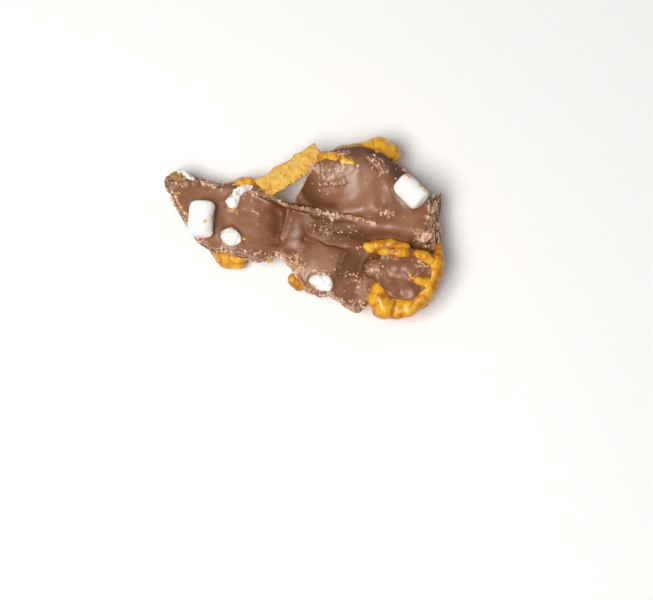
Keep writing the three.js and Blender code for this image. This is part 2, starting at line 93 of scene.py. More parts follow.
for window in WINDOWS:
    light = bpy.data.objects.new(window["name"], bpy.data.lights.new(window["name"], "AREA"))
    light.data.shape = "RECTANGLE"
    light.data.size, light.data.size_y = window["size"]
    light.data.energy = window["power"]
    light.data.color = window["colour"]
    light.location = window["at"]
    light.rotation_mode = "QUATERNION"
    light.rotation_quaternion = (-Vector(window["at"])).to_track_quat("-Z", "Y")
    bpy.context.scene.collection.objects.link(light)
world = bpy.data.worlds.new("room")
world.use_nodes = True
daylight = world.node_tree.nodes["Background"]
daylight.inputs["Color"].default_value = (*ROOM_COLOUR, 1)
daylight.inputs["Strength"].default_value = ROOM_LIGHT
bpy.context.scene.world = world

# Caramel popcorn. A flake is puffed lobes run together with creases between them, under a thin clear glaze
# of caramel. Sizes are in millimetres, in the frame that the cluster was laid out in. A form is a function
# that gives how far points lie outside it, negative inside, and a closed skin is then drawn over it.
MIDDLE = np.array([0.16, 0.11, 0.0])  # the cluster's middle in that frame
POPCORN_STEP = 0.24
LOBE_CREASE = 0.7  # how softly one lobe runs into the next
PUFF = 3.1  # width and depth of the puffs on a flake
PUFF_DEPTH = 0.38
WRINKLE = 1.3  # width and depth of the wrinkles on those
WRINKLE_DEPTH = 0.22
CUP_WRINKLE_DEPTH = 0.09
PORE = 0.6
PORE_DEPTH = 0.03
CUT = 0.3  # how softly a hollow or a crack is cut, or a thin strip joined on

# Each flake is made of strands, and each strand is a row of lobes that run into one another. A lobe is a
# place and a radius. The cup-shaped flake is a bowl under a band that runs round its right side and front.
# A strip and a thinner edge beside it lie behind its hollow, with a bit to their right and a spur in it.
CUP_BOWL = (23.6, -12.4, 7.0, 7.3)
CUP_SHELL = {"radius": 5.8, "height": 7.2, "thick": 2.6}
CUP_STRIP = [
    (15.2, -5.0, 12.3, 0.9), (17.6, -5.0, 12.7, 1.3), (21.0, -4.9, 12.9, 1.3), (24.4, -5.4, 12.7, 1.1),
]
CUP_EDGE = [
    (15.6, -5.7, 12.2, 0.8), (19.2, -6.4, 12.4, 0.9), (22.4, -6.9, 12.7, 0.9), (24.8, -7.0, 12.4, 0.8),
]
CUP_BIT = [(27.0, -6.9, 12.7, 0.9), (28.7, -7.7, 12.9, 1.2), (30.0, -8.6, 12.6, 1.1)]
CUP_BAND = [
    (32.2, -4.8, 10.8, 0.8), (31.9, -8.8, 11.2, 1.4), (31.2, -11.2, 11.3, 1.8), (29.7, -14.5, 11.3, 1.9),
    (27.8, -17.4, 11.0, 1.9), (25.0, -19.6, 10.6, 2.1), (22.4, -19.8, 10.2, 2.4), (19.2, -19.2, 9.8, 2.9),
    (18.3, -17.0, 10.3, 2.9), (18.0, -15.2, 10.8, 2.1),
]
CUP_SPUR = [(25.2, -12.6, 12.9, 0.3), (27.2, -13.4, 12.6, 0.8), (30.0, -14.2, 11.2, 1.6)]
CUP_HOLLOW = {"at": (24.0, -11.3, 11.8), "radii": (6.5, 6.2, 4.2)}
FLAKES = {
    "popcorn_dome": [
        [(21.0, 18.6, 8.6, 2.4), (18.2, 18.9, 8.8, 3.6), (13.6, 17.6, 9.2, 3.2), (9.8, 17.0, 10.0, 3.2),
         (7.6, 15.6, 12.6, 2.6), (5.2, 15.5, 15.2, 1.7), (7.6, 14.9, 16.8, 1.6), (9.8, 14.0, 17.8, 1.2),
         (11.9, 13.3, 18.4, 0.7)],
        [(16.4, 16.4, 3.4, 4.2), (14.2, 17.4, 8.0, 3.4)],
    ],
    "popcorn_front": [
        [(-15.8, -6.3, 3.0, 2.3), (-17.8, -5.6, 2.8, 2.8), (-19.6, -1.4, 2.4, 2.8)],
        [(-17.8, -5.6, 2.8, 2.8), (-21.2, -2.0, 2.4, 2.5)],
    ],
    "popcorn_back": [[(-12.8, 11.0, 7.4, 2.1), (-14.2, 10.8, 7.0, 2.4), (-16.4, 10.4, 6.0, 2.1)]],
    "popcorn_chip": [[(-2.0, -11.6, 5.8, 1.5), (-0.8, -12.8, 5.0, 1.6)]],
}
CUP_CRACK = [(21.8, -18.2, 12.4, 0.22), (21.4, -20.0, 12.9, 0.22), (20.9, -22.0, 11.2, 0.22)]
HULLS = [  # where the caramel lies thin and the corn shows bright yellow, paling towards the middle where highlight is painted: a place and a radius
    (17.9, -15.4, 13.0, 1.9), (18.6, -20.0, 12.4, 2.2), (17.0, -17.8, 12.8, 1.6),
    (22.0, -20.4, 12.2, 1.8), (24.8, -20.0, 12.4, 2.0), (22.6, -18.4, 12.4, 1.5),
    (27.2, -14.0, 13.2, 1.8), (28.8, -15.6, 12.8, 1.8), (30.2, -12.6, 13.2, 1.8),
    (30.6, -9.4, 12.8, 1.6), (28.4, -7.8, 13.8, 2.4), (15.2, -6.0, 13.2, 2.0), (19.0, -7.0, 13.2, 1.8),
    (23.2, -7.4, 13.2, 1.8), (20.6, 20.6, 11.4, 3.4), (16.0, 21.0, 11.0, 2.8), (18.4, 21.6, 11.6, 3.2),
    (6.4, 15.0, 17.0, 2.0), (10.4, 14.0, 18.6, 2.0), (-16.8, -7.8, 4.6, 3.4), (-14.4, 11.4, 9.0, 2.6),
]


def join(a, b, soft):
    """The forms a and b together, with a fillet about as wide as soft between them."""
    h = np.maximum(soft - np.abs(a - b), 0) / soft
    return np.minimum(a, b) - h * h * soft / 4


def overlap(a, b, soft):
    return -join(-a, -b, soft)


def carve(a, b, soft):
    """The form a with b taken out of it."""
    return -join(-a, b, soft)


def ease(start, end, x):
    t = np.clip((x - start) / (end - start), 0, 1)
    return t * t * (3 - 2 * t)


def ellipsoid(at, radii, x, y, z):
    u, v, w = (x - at[0]) / radii[0], (y - at[1]) / radii[1], (z - at[2]) / radii[2]
    reach = np.sqrt(u * u + v * v + w * w)
    steep = np.sqrt((u / radii[0]) ** 2 + (v / radii[1]) ** 2 + (w / radii[2]) ** 2)
    return reach * (reach - 1) / np.maximum(steep, 1e-6)


def lumps(x, y, z):
    """Smooth lumpy noise from -1 to 1, one lump to each unit."""
    def corner(i, j, k):
        wave = np.sin(i * 127.1 + j * 311.7 + k * 74.7) * 43758.5453
        return 2 * (wave - np.floor(wave)) - 1

    i, j, k = np.floor(x), np.floor(y), np.floor(z)
    u, v, w = ease(0, 1, x - i), ease(0, 1, y - j), ease(0, 1, z - k)
    layers = []
    for dk in (0, 1):
        rows = [corner(i, j + dj, k + dk) * (1 - u) + corner(i + 1, j + dj, k + dk) * u for dj in (0, 1)]
        layers.append(rows[0] * (1 - v) + rows[1] * v)
    return layers[0] * (1 - w) + layers[1] * w


def grid_axes(low, high, step):
    """The three axes of a grid of points from low to high, shaped to spread over the grid."""
    shapes = ((-1, 1, 1), (1, -1, 1), (1, 1, -1))
    return [np.arange(a, b + step, step).reshape(shape) for a, b, shape in zip(low, high, shapes)]


def skin(value, low, step):
    """The closed skin of a form whose values lie on a grid: one point in each cell that it crosses, and one
    four-sided face round each grid edge that it crosses. Returns the points and the faces."""
    unit = np.eye(3, dtype=int)
    inside = value < 0
    cells = np.array(value.shape) - 1
    count = sum(inside[i:i + cells[0], j:j + cells[1], k:k + cells[2]].astype(np.int8)
                for i in (0, 1) for j in (0, 1) for k in (0, 1))
    crossed = np.argwhere((count > 0) & (count < 8))
    sums = np.zeros((len(crossed), 3))
    found = np.zeros(len(crossed))
    for axis in range(3):
        b, c = (axis + 1) % 3, (axis + 2) % 3
        for ib, ic in ((0, 0), (1, 0), (0, 1), (1, 1)):
            start = crossed + ib * unit[b] + ic * unit[c]
            v0, v1 = value[tuple(start.T)], value[tuple((start + unit[axis]).T)]
            hit = (v0 < 0) != (v1 < 0)
            sums[hit, axis] += v0[hit] / (v0[hit] - v1[hit])
            sums[hit, b] += ib
            sums[hit, c] += ic
            found += hit
    points = np.array(low) + (crossed + sums / found[:, None]) * step
    number = np.full(cells, -1)
    number[tuple(crossed.T)] = np.arange(len(crossed))
    faces = []
    for axis in range(3):
        b, c = unit[(axis + 1) % 3], unit[(axis + 2) % 3]
        first = [slice(0, -1) if n == axis else slice(1, -1) for n in range(3)]
        second = [slice(1, None) if n == axis else slice(1, -1) for n in range(3)]
        edges = np.argwhere(inside[tuple(first)] != inside[tuple(second)])
        edges = edges + np.array([0 if n == axis else 1 for n in range(3)])
        ring = np.stack([number[tuple((edges - off).T)] for off in (b + c, c, 0 * b, b)], 1)
        outward = ~inside[tuple(edges.T)]
        ring[outward] = ring[outward][:, ::-1]
        faces.append(ring)
    return points, np.concatenate(faces)


def as_piece(name, points, faces, nodes, material, marks):
    """Makes a piece of the cluster from points in millimetres, and hides the solids that it stands for."""
    mesh = bpy.data.meshes.new(name)
    mesh.vertices.add(len(points))
    standing = np.maximum(points, (-np.inf, -np.inf, 0.0))
    mesh.vertices.foreach_set("co", ((standing - MIDDLE) / 1000).astype(np.float32).ravel())
    mesh.loops.add(faces.size)
    mesh.loops.foreach_set("vertex_index", faces.astype(np.int32).ravel())
    mesh.polygons.add(len(faces))
    mesh.polygons.foreach_set("loop_start", np.arange(0, faces.size, faces.shape[1], dtype=np.int32))
    mesh.polygons.foreach_set("use_smooth", np.ones(len(faces), bool))
    for label, values in marks.items():
        mesh.attributes.new(label, "FLOAT", "POINT").data.foreach_set("value", values.astype(np.float32))
    mesh.update()
    mesh.validate()
    mesh.materials.append(material)
    piece = bpy.data.objects.new(name, mesh)
    bpy.context.scene.collection.objects.link(piece)
    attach(piece, "root")
    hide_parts(*nodes)


def rod(a, b, radius_a, radius_b, x, y, z):
    ab = np.subtract(b, a)
    t = ((x - a[0]) * ab[0] + (y - a[1]) * ab[1] + (z - a[2]) * ab[2]) / (ab @ ab)
    t = np.clip(t, 0, 1)
    off = np.sqrt((x - a[0] - t * ab[0]) ** 2 + (y - a[1] - t * ab[1]) ** 2 + (z - a[2] - t * ab[2]) ** 2)
    return off - radius_a - t * (radius_b - radius_a)


def strand(lobes, x, y, z):
    """A row of lobes that run into one another."""
    form = 1e3
    for a, b in zip(lobes, lobes[1:]):
        form = join(form, rod(a[:3], b[:3], a[3], b[3], x, y, z), LOBE_CREASE)
    return form


def puffed(strands, wrinkle_depth, x, y, z):
    """The form of a flake, and how near each point is to one of its creases, from 0 to 1."""
    form = 1e3
    for lobes in strands:
        form = join(form, strand(lobes, x, y, z), LOBE_CREASE)
    puffs = np.abs(lumps(x / PUFF, y / PUFF, z / PUFF))
    wrinkles = np.abs(lumps(x / WRINKLE + 5, y / WRINKLE, z / WRINKLE))
    form = form + 0.14 - PUFF_DEPTH * np.minimum(puffs, 0.6) - wrinkle_depth * wrinkles
    form = form + PORE_DEPTH * lumps(x / PORE, y / PORE, z / PORE)
    return form, 0.55 * ease(0.22, 0.0, puffs) + 0.2 * ease(0.2, 0.0, wrinkles)


def cup_strands():
    """The bowl of the cup-shaped flake, the shell round it and the band on top."""
    shell = []
    for degrees in range(0, 361, 24):
        east = CUP_SHELL["radius"] * math.cos(math.radians(degrees))
        north = CUP_SHELL["radius"] * math.sin(math.radians(degrees))
        shell.append((CUP_BOWL[0] + east, CUP_BOWL[1] + north, CUP_SHELL["height"], CUP_SHELL["thick"]))
    bowl = [CUP_BOWL, (*CUP_BOWL[:2], CUP_BOWL[2] + 0.1, CUP_BOWL[3])]
    return [bowl, shell, CUP_BAND]


def cup_hollow(x, y, z):
    """The hollow of the cup-shaped flake, which is full of chocolate."""
    uneven = 0.6 * lumps(x / 2.4, y / 2.4, z / 2.4 + 3)
    return ellipsoid(CUP_HOLLOW["at"], CUP_HOLLOW["radii"], x, y, z) + uneven


def flake(name, strands, x, y, z):
    """The form of a flake, which ends at the board, and how near each point is to a crease of it."""
    if name == "popcorn_cup":
        form, crease = puffed(strands, CUP_WRINKLE_DEPTH, x, y, z)
        form = carve(form, cup_hollow(x, y, z), CUT)
        wrinkles = 0.16 * np.abs(lumps(x / 0.9, y / 0.9, z / 0.9))
        for lobes in (CUP_STRIP, CUP_EDGE, CUP_BIT, CUP_SPUR):
            form = join(form, strand(lobes, x, y, z) - wrinkles, CUT)
        crack = strand(CUP_CRACK, x, y, z)
        form = carve(form, crack, CUT)
        crease = np.maximum(crease, ease(0.3, 0.05, crack))
    else:
        form, crease = puffed(strands, WRINKLE_DEPTH, x, y, z)
    return overlap(form, -z, CUT), crease


def new_node(tree, kind, inputs, **settings):
    """A new node with its settings. Each of its inputs is linked to a socket or set to a value."""
    made = tree.nodes.new(kind)
    for setting, value in settings.items():
        setattr(made, setting, value)
    for name, value in inputs.items():
        if isinstance(value, bpy.types.NodeSocket):
            tree.links.new(value, made.inputs[name])
        else:
            made.inputs[name].default_value = value
    return made


def noise(tree, place, scale, detail, roughness):
    """A noise texture on the piece's own coordinates, scale in lumps to a metre."""
    inputs = {"Vector": place, "Scale": scale, "Detail": detail, "Roughness": roughness}
    return new_node(tree, "ShaderNodeTexNoise", inputs).outputs["Fac"]


def ramp(tree, share, stops):
    """A colour ramp: each stop is a place and a colour, or a place and a grey."""
    made = new_node(tree, "ShaderNodeValToRGB", {"Fac": share})
    elements = made.color_ramp.elements
    while len(elements) < len(stops):
        elements.new(0.5)
    for element, (position, colour) in zip(elements, stops):
        element.position = position
        element.color = (*colour, 1) if isinstance(colour, tuple) else (colour, colour, colour, 1)
    return made.outputs["Color"]


def mixed(tree, share, a, b):
    """Two colours mixed by a share. Each may be a colour or a socket."""
    made = new_node(tree, "ShaderNodeMix", {"Factor": share}, data_type="RGBA")
    sockets = [socket for socket in made.inputs if socket.type == "RGBA"]
    for socket, colour in zip(sockets, (a, b)):
        if isinstance(colour, tuple):
            socket.default_value = (*colour, 1)
        else:
            tree.links.new(colour, socket)
    return [socket for socket in made.outputs if socket.type == "RGBA"][0]


def mark(tree, name):
    """What one of the piece's own marks says at each place."""
    return new_node(tree, "ShaderNodeAttribute", {}, attribute_name=name).outputs["Fac"]


def scaled_sum(tree, value, scale, added):
    """A value times a number, plus another value."""
    inputs = {0: value, 1: scale, 2: added}
    return new_node(tree, "ShaderNodeMath", inputs, operation="MULTIPLY_ADD").outputs[0]


def bump(tree, height, strength, distance):
    inputs = {"Height": height, "Strength": strength, "Distance": distance}
    return new_node(tree, "ShaderNodeBump", inputs).outputs["Normal"]


def finish(name, **settings):
    """A new material with its shader's uniform settings, its node tree, and the place on the piece."""
    material = bpy.data.materials.new(name)
    material.use_nodes = True
    tree = material.node_tree
    shader = tree.nodes["Principled BSDF"]
    for socket, value in settings.items():
        shader.inputs[socket.replace("_", " ")].default_value = value
    place = tree.nodes.new("ShaderNodeTexCoord").outputs["Object"]
    return material, tree, shader, place


CARAMEL_DEEP = (0.42, 0.12, 0.002)
CARAMEL_MID = (0.60, 0.225, 0.003)
CORN_YELLOW = (0.73, 0.350, 0.006)
CORN_PALE_AND_HIGHLIGHT = (0.84, 0.475, 0.028)

caramel, tree, shader, place = finish(
    "caramel_popcorn", Roughness=0.38, Specular_IOR_Level=0.35, Coat_Weight=0.35, Coat_Roughness=0.10,
    Subsurface_Weight=0.15, Subsurface_Radius=(1.0, 0.55, 0.15), Subsurface_Scale=0.0015)
streaks = noise(tree, place, 420, 5.0, 0.7)
# The thin-caramel mark also paints highlight, pale towards the middle of each patch.
colour = ramp(tree, scaled_sum(tree, mark(tree, "thin_caramel_and_highlight"), 0.20, streaks),
              [(0.40, CARAMEL_DEEP), (0.48, CARAMEL_MID), (0.57, CORN_YELLOW), (0.80, CORN_PALE_AND_HIGHLIGHT)])
colour = mixed(tree, mark(tree, "crease"), colour, CARAMEL_DEEP)
tree.links.new(colour, shader.inputs["Base Color"])
wrinkles = noise(tree, place, 800, 5.0, 0.6)
tree.links.new(bump(tree, wrinkles, 0.5, 0.0005), shader.inputs["Normal"])

SHAPES = {}  # the form of each piece set in the chocolate, with the corners of its box
for name, strands in {"popcorn_cup": cup_strands(), **FLAKES}.items():
    flake_form = partial(flake, name, strands)
    spread = np.array([lobe for lobes in strands for lobe in lobes])
    low = (spread[:, :3] - spread[:, 3:]).min(0) - 1
    high = (spread[:, :3] + spread[:, 3:]).max(0) + 1
    low[2] = max(low[2], -1)
    SHAPES[name] = (lambda x, y, z, form=flake_form: form(x, y, z)[0], low, high)
    points, faces = skin(flake_form(*grid_axes(low, high, POPCORN_STEP))[0], low, POPCORN_STEP)
    thin_caramel_and_highlight = np.max([ease(1.0, 0.4, np.linalg.norm(points - at, axis=1) / radius)
                   for *at, radius in HULLS], axis=0)
    as_piece("flake_" + name.split("_")[1], points, faces, [name], caramel,
             {"crease": flake_form(*points.T)[1], "thin_caramel_and_highlight": thin_caramel_and_highlight})

# Graham cereal. A thin baked biscuit with ridges across both faces, dry and sugary, broken off square.
CEREAL_STEP = 0.2
CEREAL_PITCH = 1.75  # ridge to ridge
CEREAL_THICK = 2.0
CEREALS = {
    "graham_back": {"at": (-2.8, 13.6, 10.7), "across": 16.8, "along": 5.4, "ridge": 0.04,
                    "turn": 33, "tip": 8, "roll": -1},
    "graham_left": {"at": (-30.4, 12.3, 8.0), "across": 3.8, "along": 4.0, "ridge": 0.12,
                    "turn": 28, "tip": -35},
    "graham_front": {"at": (-11.0, -4.1, 6.2), "across": 8.6, "along": 6.4, "ridge": 0.12,
                     "turn": -6},
}


def turn(a, b, degrees):
    """The coordinates a and b as they are on axes turned by so many degrees."""
    cosine, sine = math.cos(math.radians(degrees)), math.sin(math.radians(degrees))
    return cosine * a + sine * b, cosine * b - sine * a


def turned(sizes, x, y, z):
    """Points in a piece's own axes: turned about Z, then rolled about Y, then tipped about X."""
    x, y, z = x - sizes["at"][0], y - sizes["at"][1], z - sizes["at"][2]
    x, y = turn(x, y, sizes.get("turn", 0))
    z, x = turn(z, x, sizes.get("roll", 0))
    y, z = turn(y, z, sizes.get("tip", 0))
    return x, y, z


def cereal_form(sizes, x, y, z):
    """The form of a biscuit. One of its long sides is broken open and rougher than the rest."""
    u, v, w = turned(sizes, x, y, z)
    grain = 0.16 * lumps(x / 0.9, y / 0.9, z / 0.9) + 0.13 * lumps(x / 0.45, y / 0.45, z / 0.45)
    ragged = 0.3 * lumps(x / 1.6 + 7, y / 1.6, z / 1.6)
    ridge = sizes["ridge"] * np.cos(2 * math.pi * u / CEREAL_PITCH)
    open_side = 0.45 * ease(0.3, -1.6, v) * np.abs(lumps(u / 0.55, v / 0.55, w / 0.55))
    flat = np.abs(w) - CEREAL_THICK / 2 - ridge
    sides = np.maximum(np.abs(u) - sizes["across"] / 2, np.abs(v) - sizes["along"] / 2) + ragged
    return overlap(flat, sides, 0.5) + grain + open_side


GRAHAM_CRUST = (0.70, 0.37, 0.06)
GRAHAM_PALE = (0.86, 0.55, 0.11)
GRAHAM_DARK = (0.42, 0.18, 0.03)
GRAHAM_DUSTED = (0.33, 0.17, 0.065)  # under a film of chocolate

graham, tree, shader, place = finish(
    "graham_cereal", Roughness=0.75, Subsurface_Weight=0.08, Subsurface_Radius=(1.0, 0.6, 0.3),
    Subsurface_Scale=0.0008)
colour = ramp(tree, noise(tree, place, 420, 5.0, 0.7),
              [(0.24, GRAHAM_DARK), (0.42, GRAHAM_CRUST), (0.62, GRAHAM_PALE)])
colour = mixed(tree, mark(tree, "dusted"), colour, GRAHAM_DUSTED)
tree.links.new(colour, shader.inputs["Base Color"])
grains = noise(tree, place, 2600, 4.0, 0.7)
tree.links.new(bump(tree, grains, 0.6, 0.0004), shader.inputs["Normal"])

for name, sizes in CEREALS.items():
    biscuit = partial(cereal_form, sizes)
    reach = math.hypot(sizes["across"], sizes["along"], CEREAL_THICK) / 2 + 1
    low, high = np.array(sizes["at"]) - reach, np.array(sizes["at"]) + reach
    SHAPES[name] = (biscuit, low, high)
    points, faces = skin(biscuit(*grid_axes(low, high, CEREAL_STEP)), low, CEREAL_STEP)
    dusted = np.full(len(points), 0.75 if name == "graham_left" else 0.0)
    as_piece("biscuit_" + name.split("_")[1], points, faces, [name], graham, {"dusted": dusted})

# Dried marshmallows. Whole ones are short soft-ended rods that lie on their side, white and dry to the
# touch. Others were torn when the bark broke, or are half sunk in it.
MARSHMALLOW_STEP = 0.2
WHOLE = {
    "marshmallow_left": {"at": (-24.0, 1.6, 12.0), "length": 8.4, "wide": 6.0, "thick": 5.5,
                         "turn": -4},
    "marshmallow_right": {"at": (25.5, 7.5, 15.2), "length": 7.6, "wide": 5.8, "thick": 5.2,
                          "turn": 45, "tip": -6},
}
TORN = {
    "marshmallow_small": {"at": (-17.0, -2.4, 10.4), "radii": (2.6, 2.1, 1.7), "turn": -30},
    "marshmallow_streak": {"at": (-15.5, 7.6, 9.9), "radii": (3.5, 1.8, 1.2), "turn": 44},
    "marshmallow_front": {"at": (4.6, -13.3, 10.1), "radii": (3.0, 1.9, 1.7), "turn": -22},
    "marshmallow_back": {"at": (-28.3, 13.4, 7.8), "radii": (2.5, 1.0, 1.1), "turn": -32},
}


def whole_form(sizes, x, y, z):
    """A rod with soft ends that lies along its own Y, a little flattened."""
    u, v, w = turned(sizes, x, y, z)
    soft = sizes["wide"] * 0.2
    squash = sizes["wide"] / sizes["thick"]
    round_way = np.sqrt(u * u + (w * squash) ** 2) - sizes["wide"] / 2 + soft
    long_way = np.abs(v) - sizes["length"] / 2 + soft
    form = np.hypot(np.maximum(round_way, 0), np.maximum(long_way, 0)) - soft
    form = form + np.minimum(np.maximum(round_way, long_way), 0)
    return form + 0.14 * lumps(x / 2.4, y / 2.4, z / 2.4) + 0.05 * lumps(x / 1.0, y / 1.0, z / 1.0)


def torn_form(sizes, x, y, z):
    u, v, w = turned(sizes, x, y, z)
    form = ellipsoid((0, 0, 0), sizes["radii"], u, v, w)
    return form + 0.34 * lumps(x / 1.3, y / 1.3, z / 1.3) + 0.12 * lumps(x / 0.6, y / 0.6, z / 0.6)


# The streak was torn long: it has a blob in front, a thinner wing behind and a neck between them.
STREAK_BLOB = {"at": (-16.6, 6.3, 9.9), "radii": (1.9, 1.5, 1.2), "turn": 55}
STREAK_WING = {"at": (-14.3, 9.2, 10.2), "radii": (2.6, 1.1, 0.7), "turn": 20}
STREAK_NECK = ((-16.6, 6.6, 9.8), (-14.8, 8.6, 10.0), 1.0, 0.7)
STAINS = [  # caramel on the marshmallows: a place and a radius
    (25.1, 11.2, 16.8, 1.5), (28.9, 7.4, 16.4, 1.5), (28.0, 8.7, 16.9, 1.2), (2.6, -14.5, 10.6, 0.9),
    (6.8, -14.3, 10.6, 0.9), (-22.8, 0.3, 14.8, 0.6), (-21.1, 1.6, 13.2, 1.1), (-21.0, 0.8, 12.6, 0.9),
]
RUBS = [  # chocolate rubbed onto them, given in the same way
    (-13.4, 9.6, 10.8, 1.9), (-15.2, 8.4, 10.6, 1.2), (-17.2, 7.6, 10.6, 0.7), (-19.2, -1.2, 10.8, 1.2),
    (-29.2, 13.6, 8.8, 1.0), (-27.2, 13.0, 8.8, 0.9), (4.4, -11.8, 11.4, 1.0),
]


def streak_form(x, y, z):
    form = rod(*STREAK_NECK, x, y, z)
    for part in (STREAK_BLOB, STREAK_WING):
        form = join(form, ellipsoid((0, 0, 0), part["radii"], *turned(part, x, y, z)), 0.6)
    return form + 0.34 * lumps(x / 1.1, y / 1.1, z / 1.1) + 0.16 * lumps(x / 0.5, y / 0.5, z / 0.5)


def mallow_form(name, sizes, x, y, z):
    if name == "marshmallow_streak":
        return streak_form(x, y, z)
    return whole_form(sizes, x, y, z) if "length" in sizes else torn_form(sizes, x, y, z)


def blot_share(blots, points):
    """How far blots at the given places cover the points, ragged, from 0 to 1."""
    ragged = lumps(*(points / 0.7).T) + 0.5 * lumps(*(points / 0.3).T)
    share = np.zeros(len(points))
    for *at, radius in blots:
        off = np.linalg.norm(points - at, axis=1) / radius
        share = np.maximum(share, ease(0.1, 0.6, 1.0 - off + 0.6 * ragged) * ease(1.5, 1.0, off))
    return share


MALLOW_WHITE = (0.95, 0.93, 0.89)
MALLOW_SHADE = (0.88, 0.80, 0.72)
MALLOW_RUBBED = (0.42, 0.25, 0.17)
MALLOW_STAINED = (0.80, 0.38, 0.06)

mallow, tree, shader, place = finish(
    "dried_marshmallow", Roughness=0.7, Subsurface_Weight=0.35, Subsurface_Radius=(1.0, 0.85, 0.7),
    Subsurface_Scale=0.0012)
colour = ramp(tree, noise(tree, place, 700, 4.0, 0.6), [(0.25, MALLOW_SHADE), (0.5, MALLOW_WHITE)])
colour = mixed(tree, mark(tree, "rub"), colour, MALLOW_RUBBED)
colour = mixed(tree, mark(tree, "stain"), colour, MALLOW_STAINED)
tree.links.new(colour, shader.inputs["Base Color"])
powder = noise(tree, place, 2200, 4.0, 0.6)
tree.links.new(bump(tree, powder, 0.3, 0.0003), shader.inputs["Normal"])

for name, sizes in {**WHOLE, **TORN}.items():
    mallow_shape = partial(mallow_form, name, sizes)
    reach = max(sizes.get("length", 0) / 2 + 2, *sizes.get("radii", (0,))) + 1
    low, high = np.array(sizes["at"]) - reach, np.array(sizes["at"]) + reach
    SHAPES[name] = (mallow_shape, low, high)
    points, faces = skin(mallow_shape(*grid_axes(low, high, MARSHMALLOW_STEP)), low, MARSHMALLOW_STEP)
    as_piece("mallow_" + name.split("_")[1], points, faces, [name], mallow,
             {"stain": 0.85 * blot_share(STAINS, points), "rub": 0.6 * blot_share(RUBS, points)})

# The chocolate. It was poured over the pieces on a flat board, set, and was broken up, so it is smooth and
# satin where it was poured, and lighter and crumbly where it broke. In plan it is a thin slab on the left
# and a thick end on the right.
CHOCOLATE_STEP = 0.28
SLAB_TOP = 10.0  # the thin slab's face over the board, and how far the slab stands clear of it
SLAB_UNDER = 4.2
BODY_TOP = 9.4  # the thick end's poured level, before its domes
UNDERCUT = (-1.5, -7.5)  # where the underside rises from the board to the slab's
WALL_TUCK = 0.012  # how fast the walls draw in towards the board
CRAG = 2.6  # width and depth of the crags on a broken edge
CRAG_DEPTH = 0.5
SNAPPED_FROM = 27  # the X from where the right end is a snapped face
SLAB_PLAN = [
    (-33.1, 11.2), (-31.7, 14.8), (-29.0, 15.2), (-25.4, 13.9), (-20.4, 11.7), (-12.5, 10.0), (-6.4, 7.2),
    (-1.0, 5.0), (2.6, -1.0), (-1.6, -7.2), (-6.0, -6.6), (-11.2, -8.2), (-16.6, -6.2), (-21.4, -5.4),
    (-24.8, -3.4), (-28.0, 1.2), (-31.0, 7.0),
]
BODY_PLAN = [
    (-2.6, 5.6), (0.6, 11.0), (4.4, 16.4), (9.0, 18.8), (13.4, 19.5), (18.4, 18.5), (23.4, 15.7),
    (26.0, 12.4), (28.2, 9.0), (30.2, 6.8), (33.4, 9.8), (33.6, 7.6), (32.3, 3.2), (33.2, -2.0),
    (32.0, -5.8), (27.0, -8.0), (18.6, -13.0), (14.6, -19.4), (10.6, -19.8), (6.4, -16.2), (1.8, -16.0),
    (-1.4, -12.0), (-3.6, -8.6), (-5.4, -5.6), (-4.4, 0.6),
]
CREST = [  # the broken lip along the slab's back edge and on across the thick end
    (-13.5, 9.1, 9.6), (-10.8, 8.3, 10.9), (-8.2, 7.4, 11.3), (-4.4, 5.3, 11.6), (-2.0, 4.6, 12.2),
    (3.7, 3.0, 13.2), (8.0, 1.7, 14.1), (12.0, 1.3, 14.9), (17.4, -0.5, 14.4),
]
CREST_HALF = 0.5
LEDGE = [(3.0, 2.7, 12.7), (8.0, 1.2, 13.7), (12.0, 0.7, 14.5), (17.0, -1.0, 14.0)]  # its thicker right half
LEDGE_HALF = 0.75
FRONT_LIP = [  # the broken lip along the thick end's front edge
    (-5.4, -6.2, 9.8), (-2.8, -8.6, 9.9), (-1.2, -12.0, 9.4), (1.0, -15.0, 9.2), (6.4, -15.8, 9.4),
    (10.8, -19.2, 9.6), (14.6, -18.8, 10.2),
]
FRONT_LIP_HALF = 0.55
SADDLE = ((4.8, -8.4, 5.2), (10.8, 9.4, 5.8))
SADDLE_CREASE = ((9.0, -9.0, 10.3), (0.59, -0.24, 0.77))  # a point on its right flank, and the way it faces
DOME = ((11.8, 10.8, 8.2), (12.2, 8.9, 12.2))
DOME_FACE = ((12.6, 10.0, 18.2), (0.04, -0.36, 0.93))  # its broad face, which slopes to the front
CHIPS = [  # flakes of chocolate stuck on the dome: middle and radii
    ((8.9, 9.1, 17.4), (2.2, 1.0, 0.9)), ((5.4, 8.8, 17.2), (0.9, 0.8, 0.9)),
]
SHARD = [(1.5, 12.5, 17.6), (4.1, 14.0, 18.5), (4.1, 10.6, 18.5), (5.2, 12.4, 15.4)]  # a splinter's corners
MOUNDS = [  # where the chocolate rides over what lies under it: middle, radii and fillet
    ((22.4, 4.6, 8.8), (10.4, 7.6, 6.2), 3.0),
    ((2.6, 13.4, 8.8), (3.0, 2.2, 3.2), 1.0),
]
ROLL = [  # runs between the dome and the saddle, with a nub at its left end and a valley under it
    (-0.8, 3.3, 9.2, 1.4), (6.6, 1.1, 10.1, 3.0), (14.0, -0.6, 10.6, 4.5), (22.0, -1.2, 10.8, 4.5),
    (30.0, -2.4, 10.8, 3.8),
]
ROLL_FACE = ((20.0, -3.4, 12.5), (-0.06, -0.86, 0.50))  # the roll's steep front
NUB = ((-0.8, 1.6, 8.8), (-0.8, -2.8, 8.2), 2.2, 2.5)
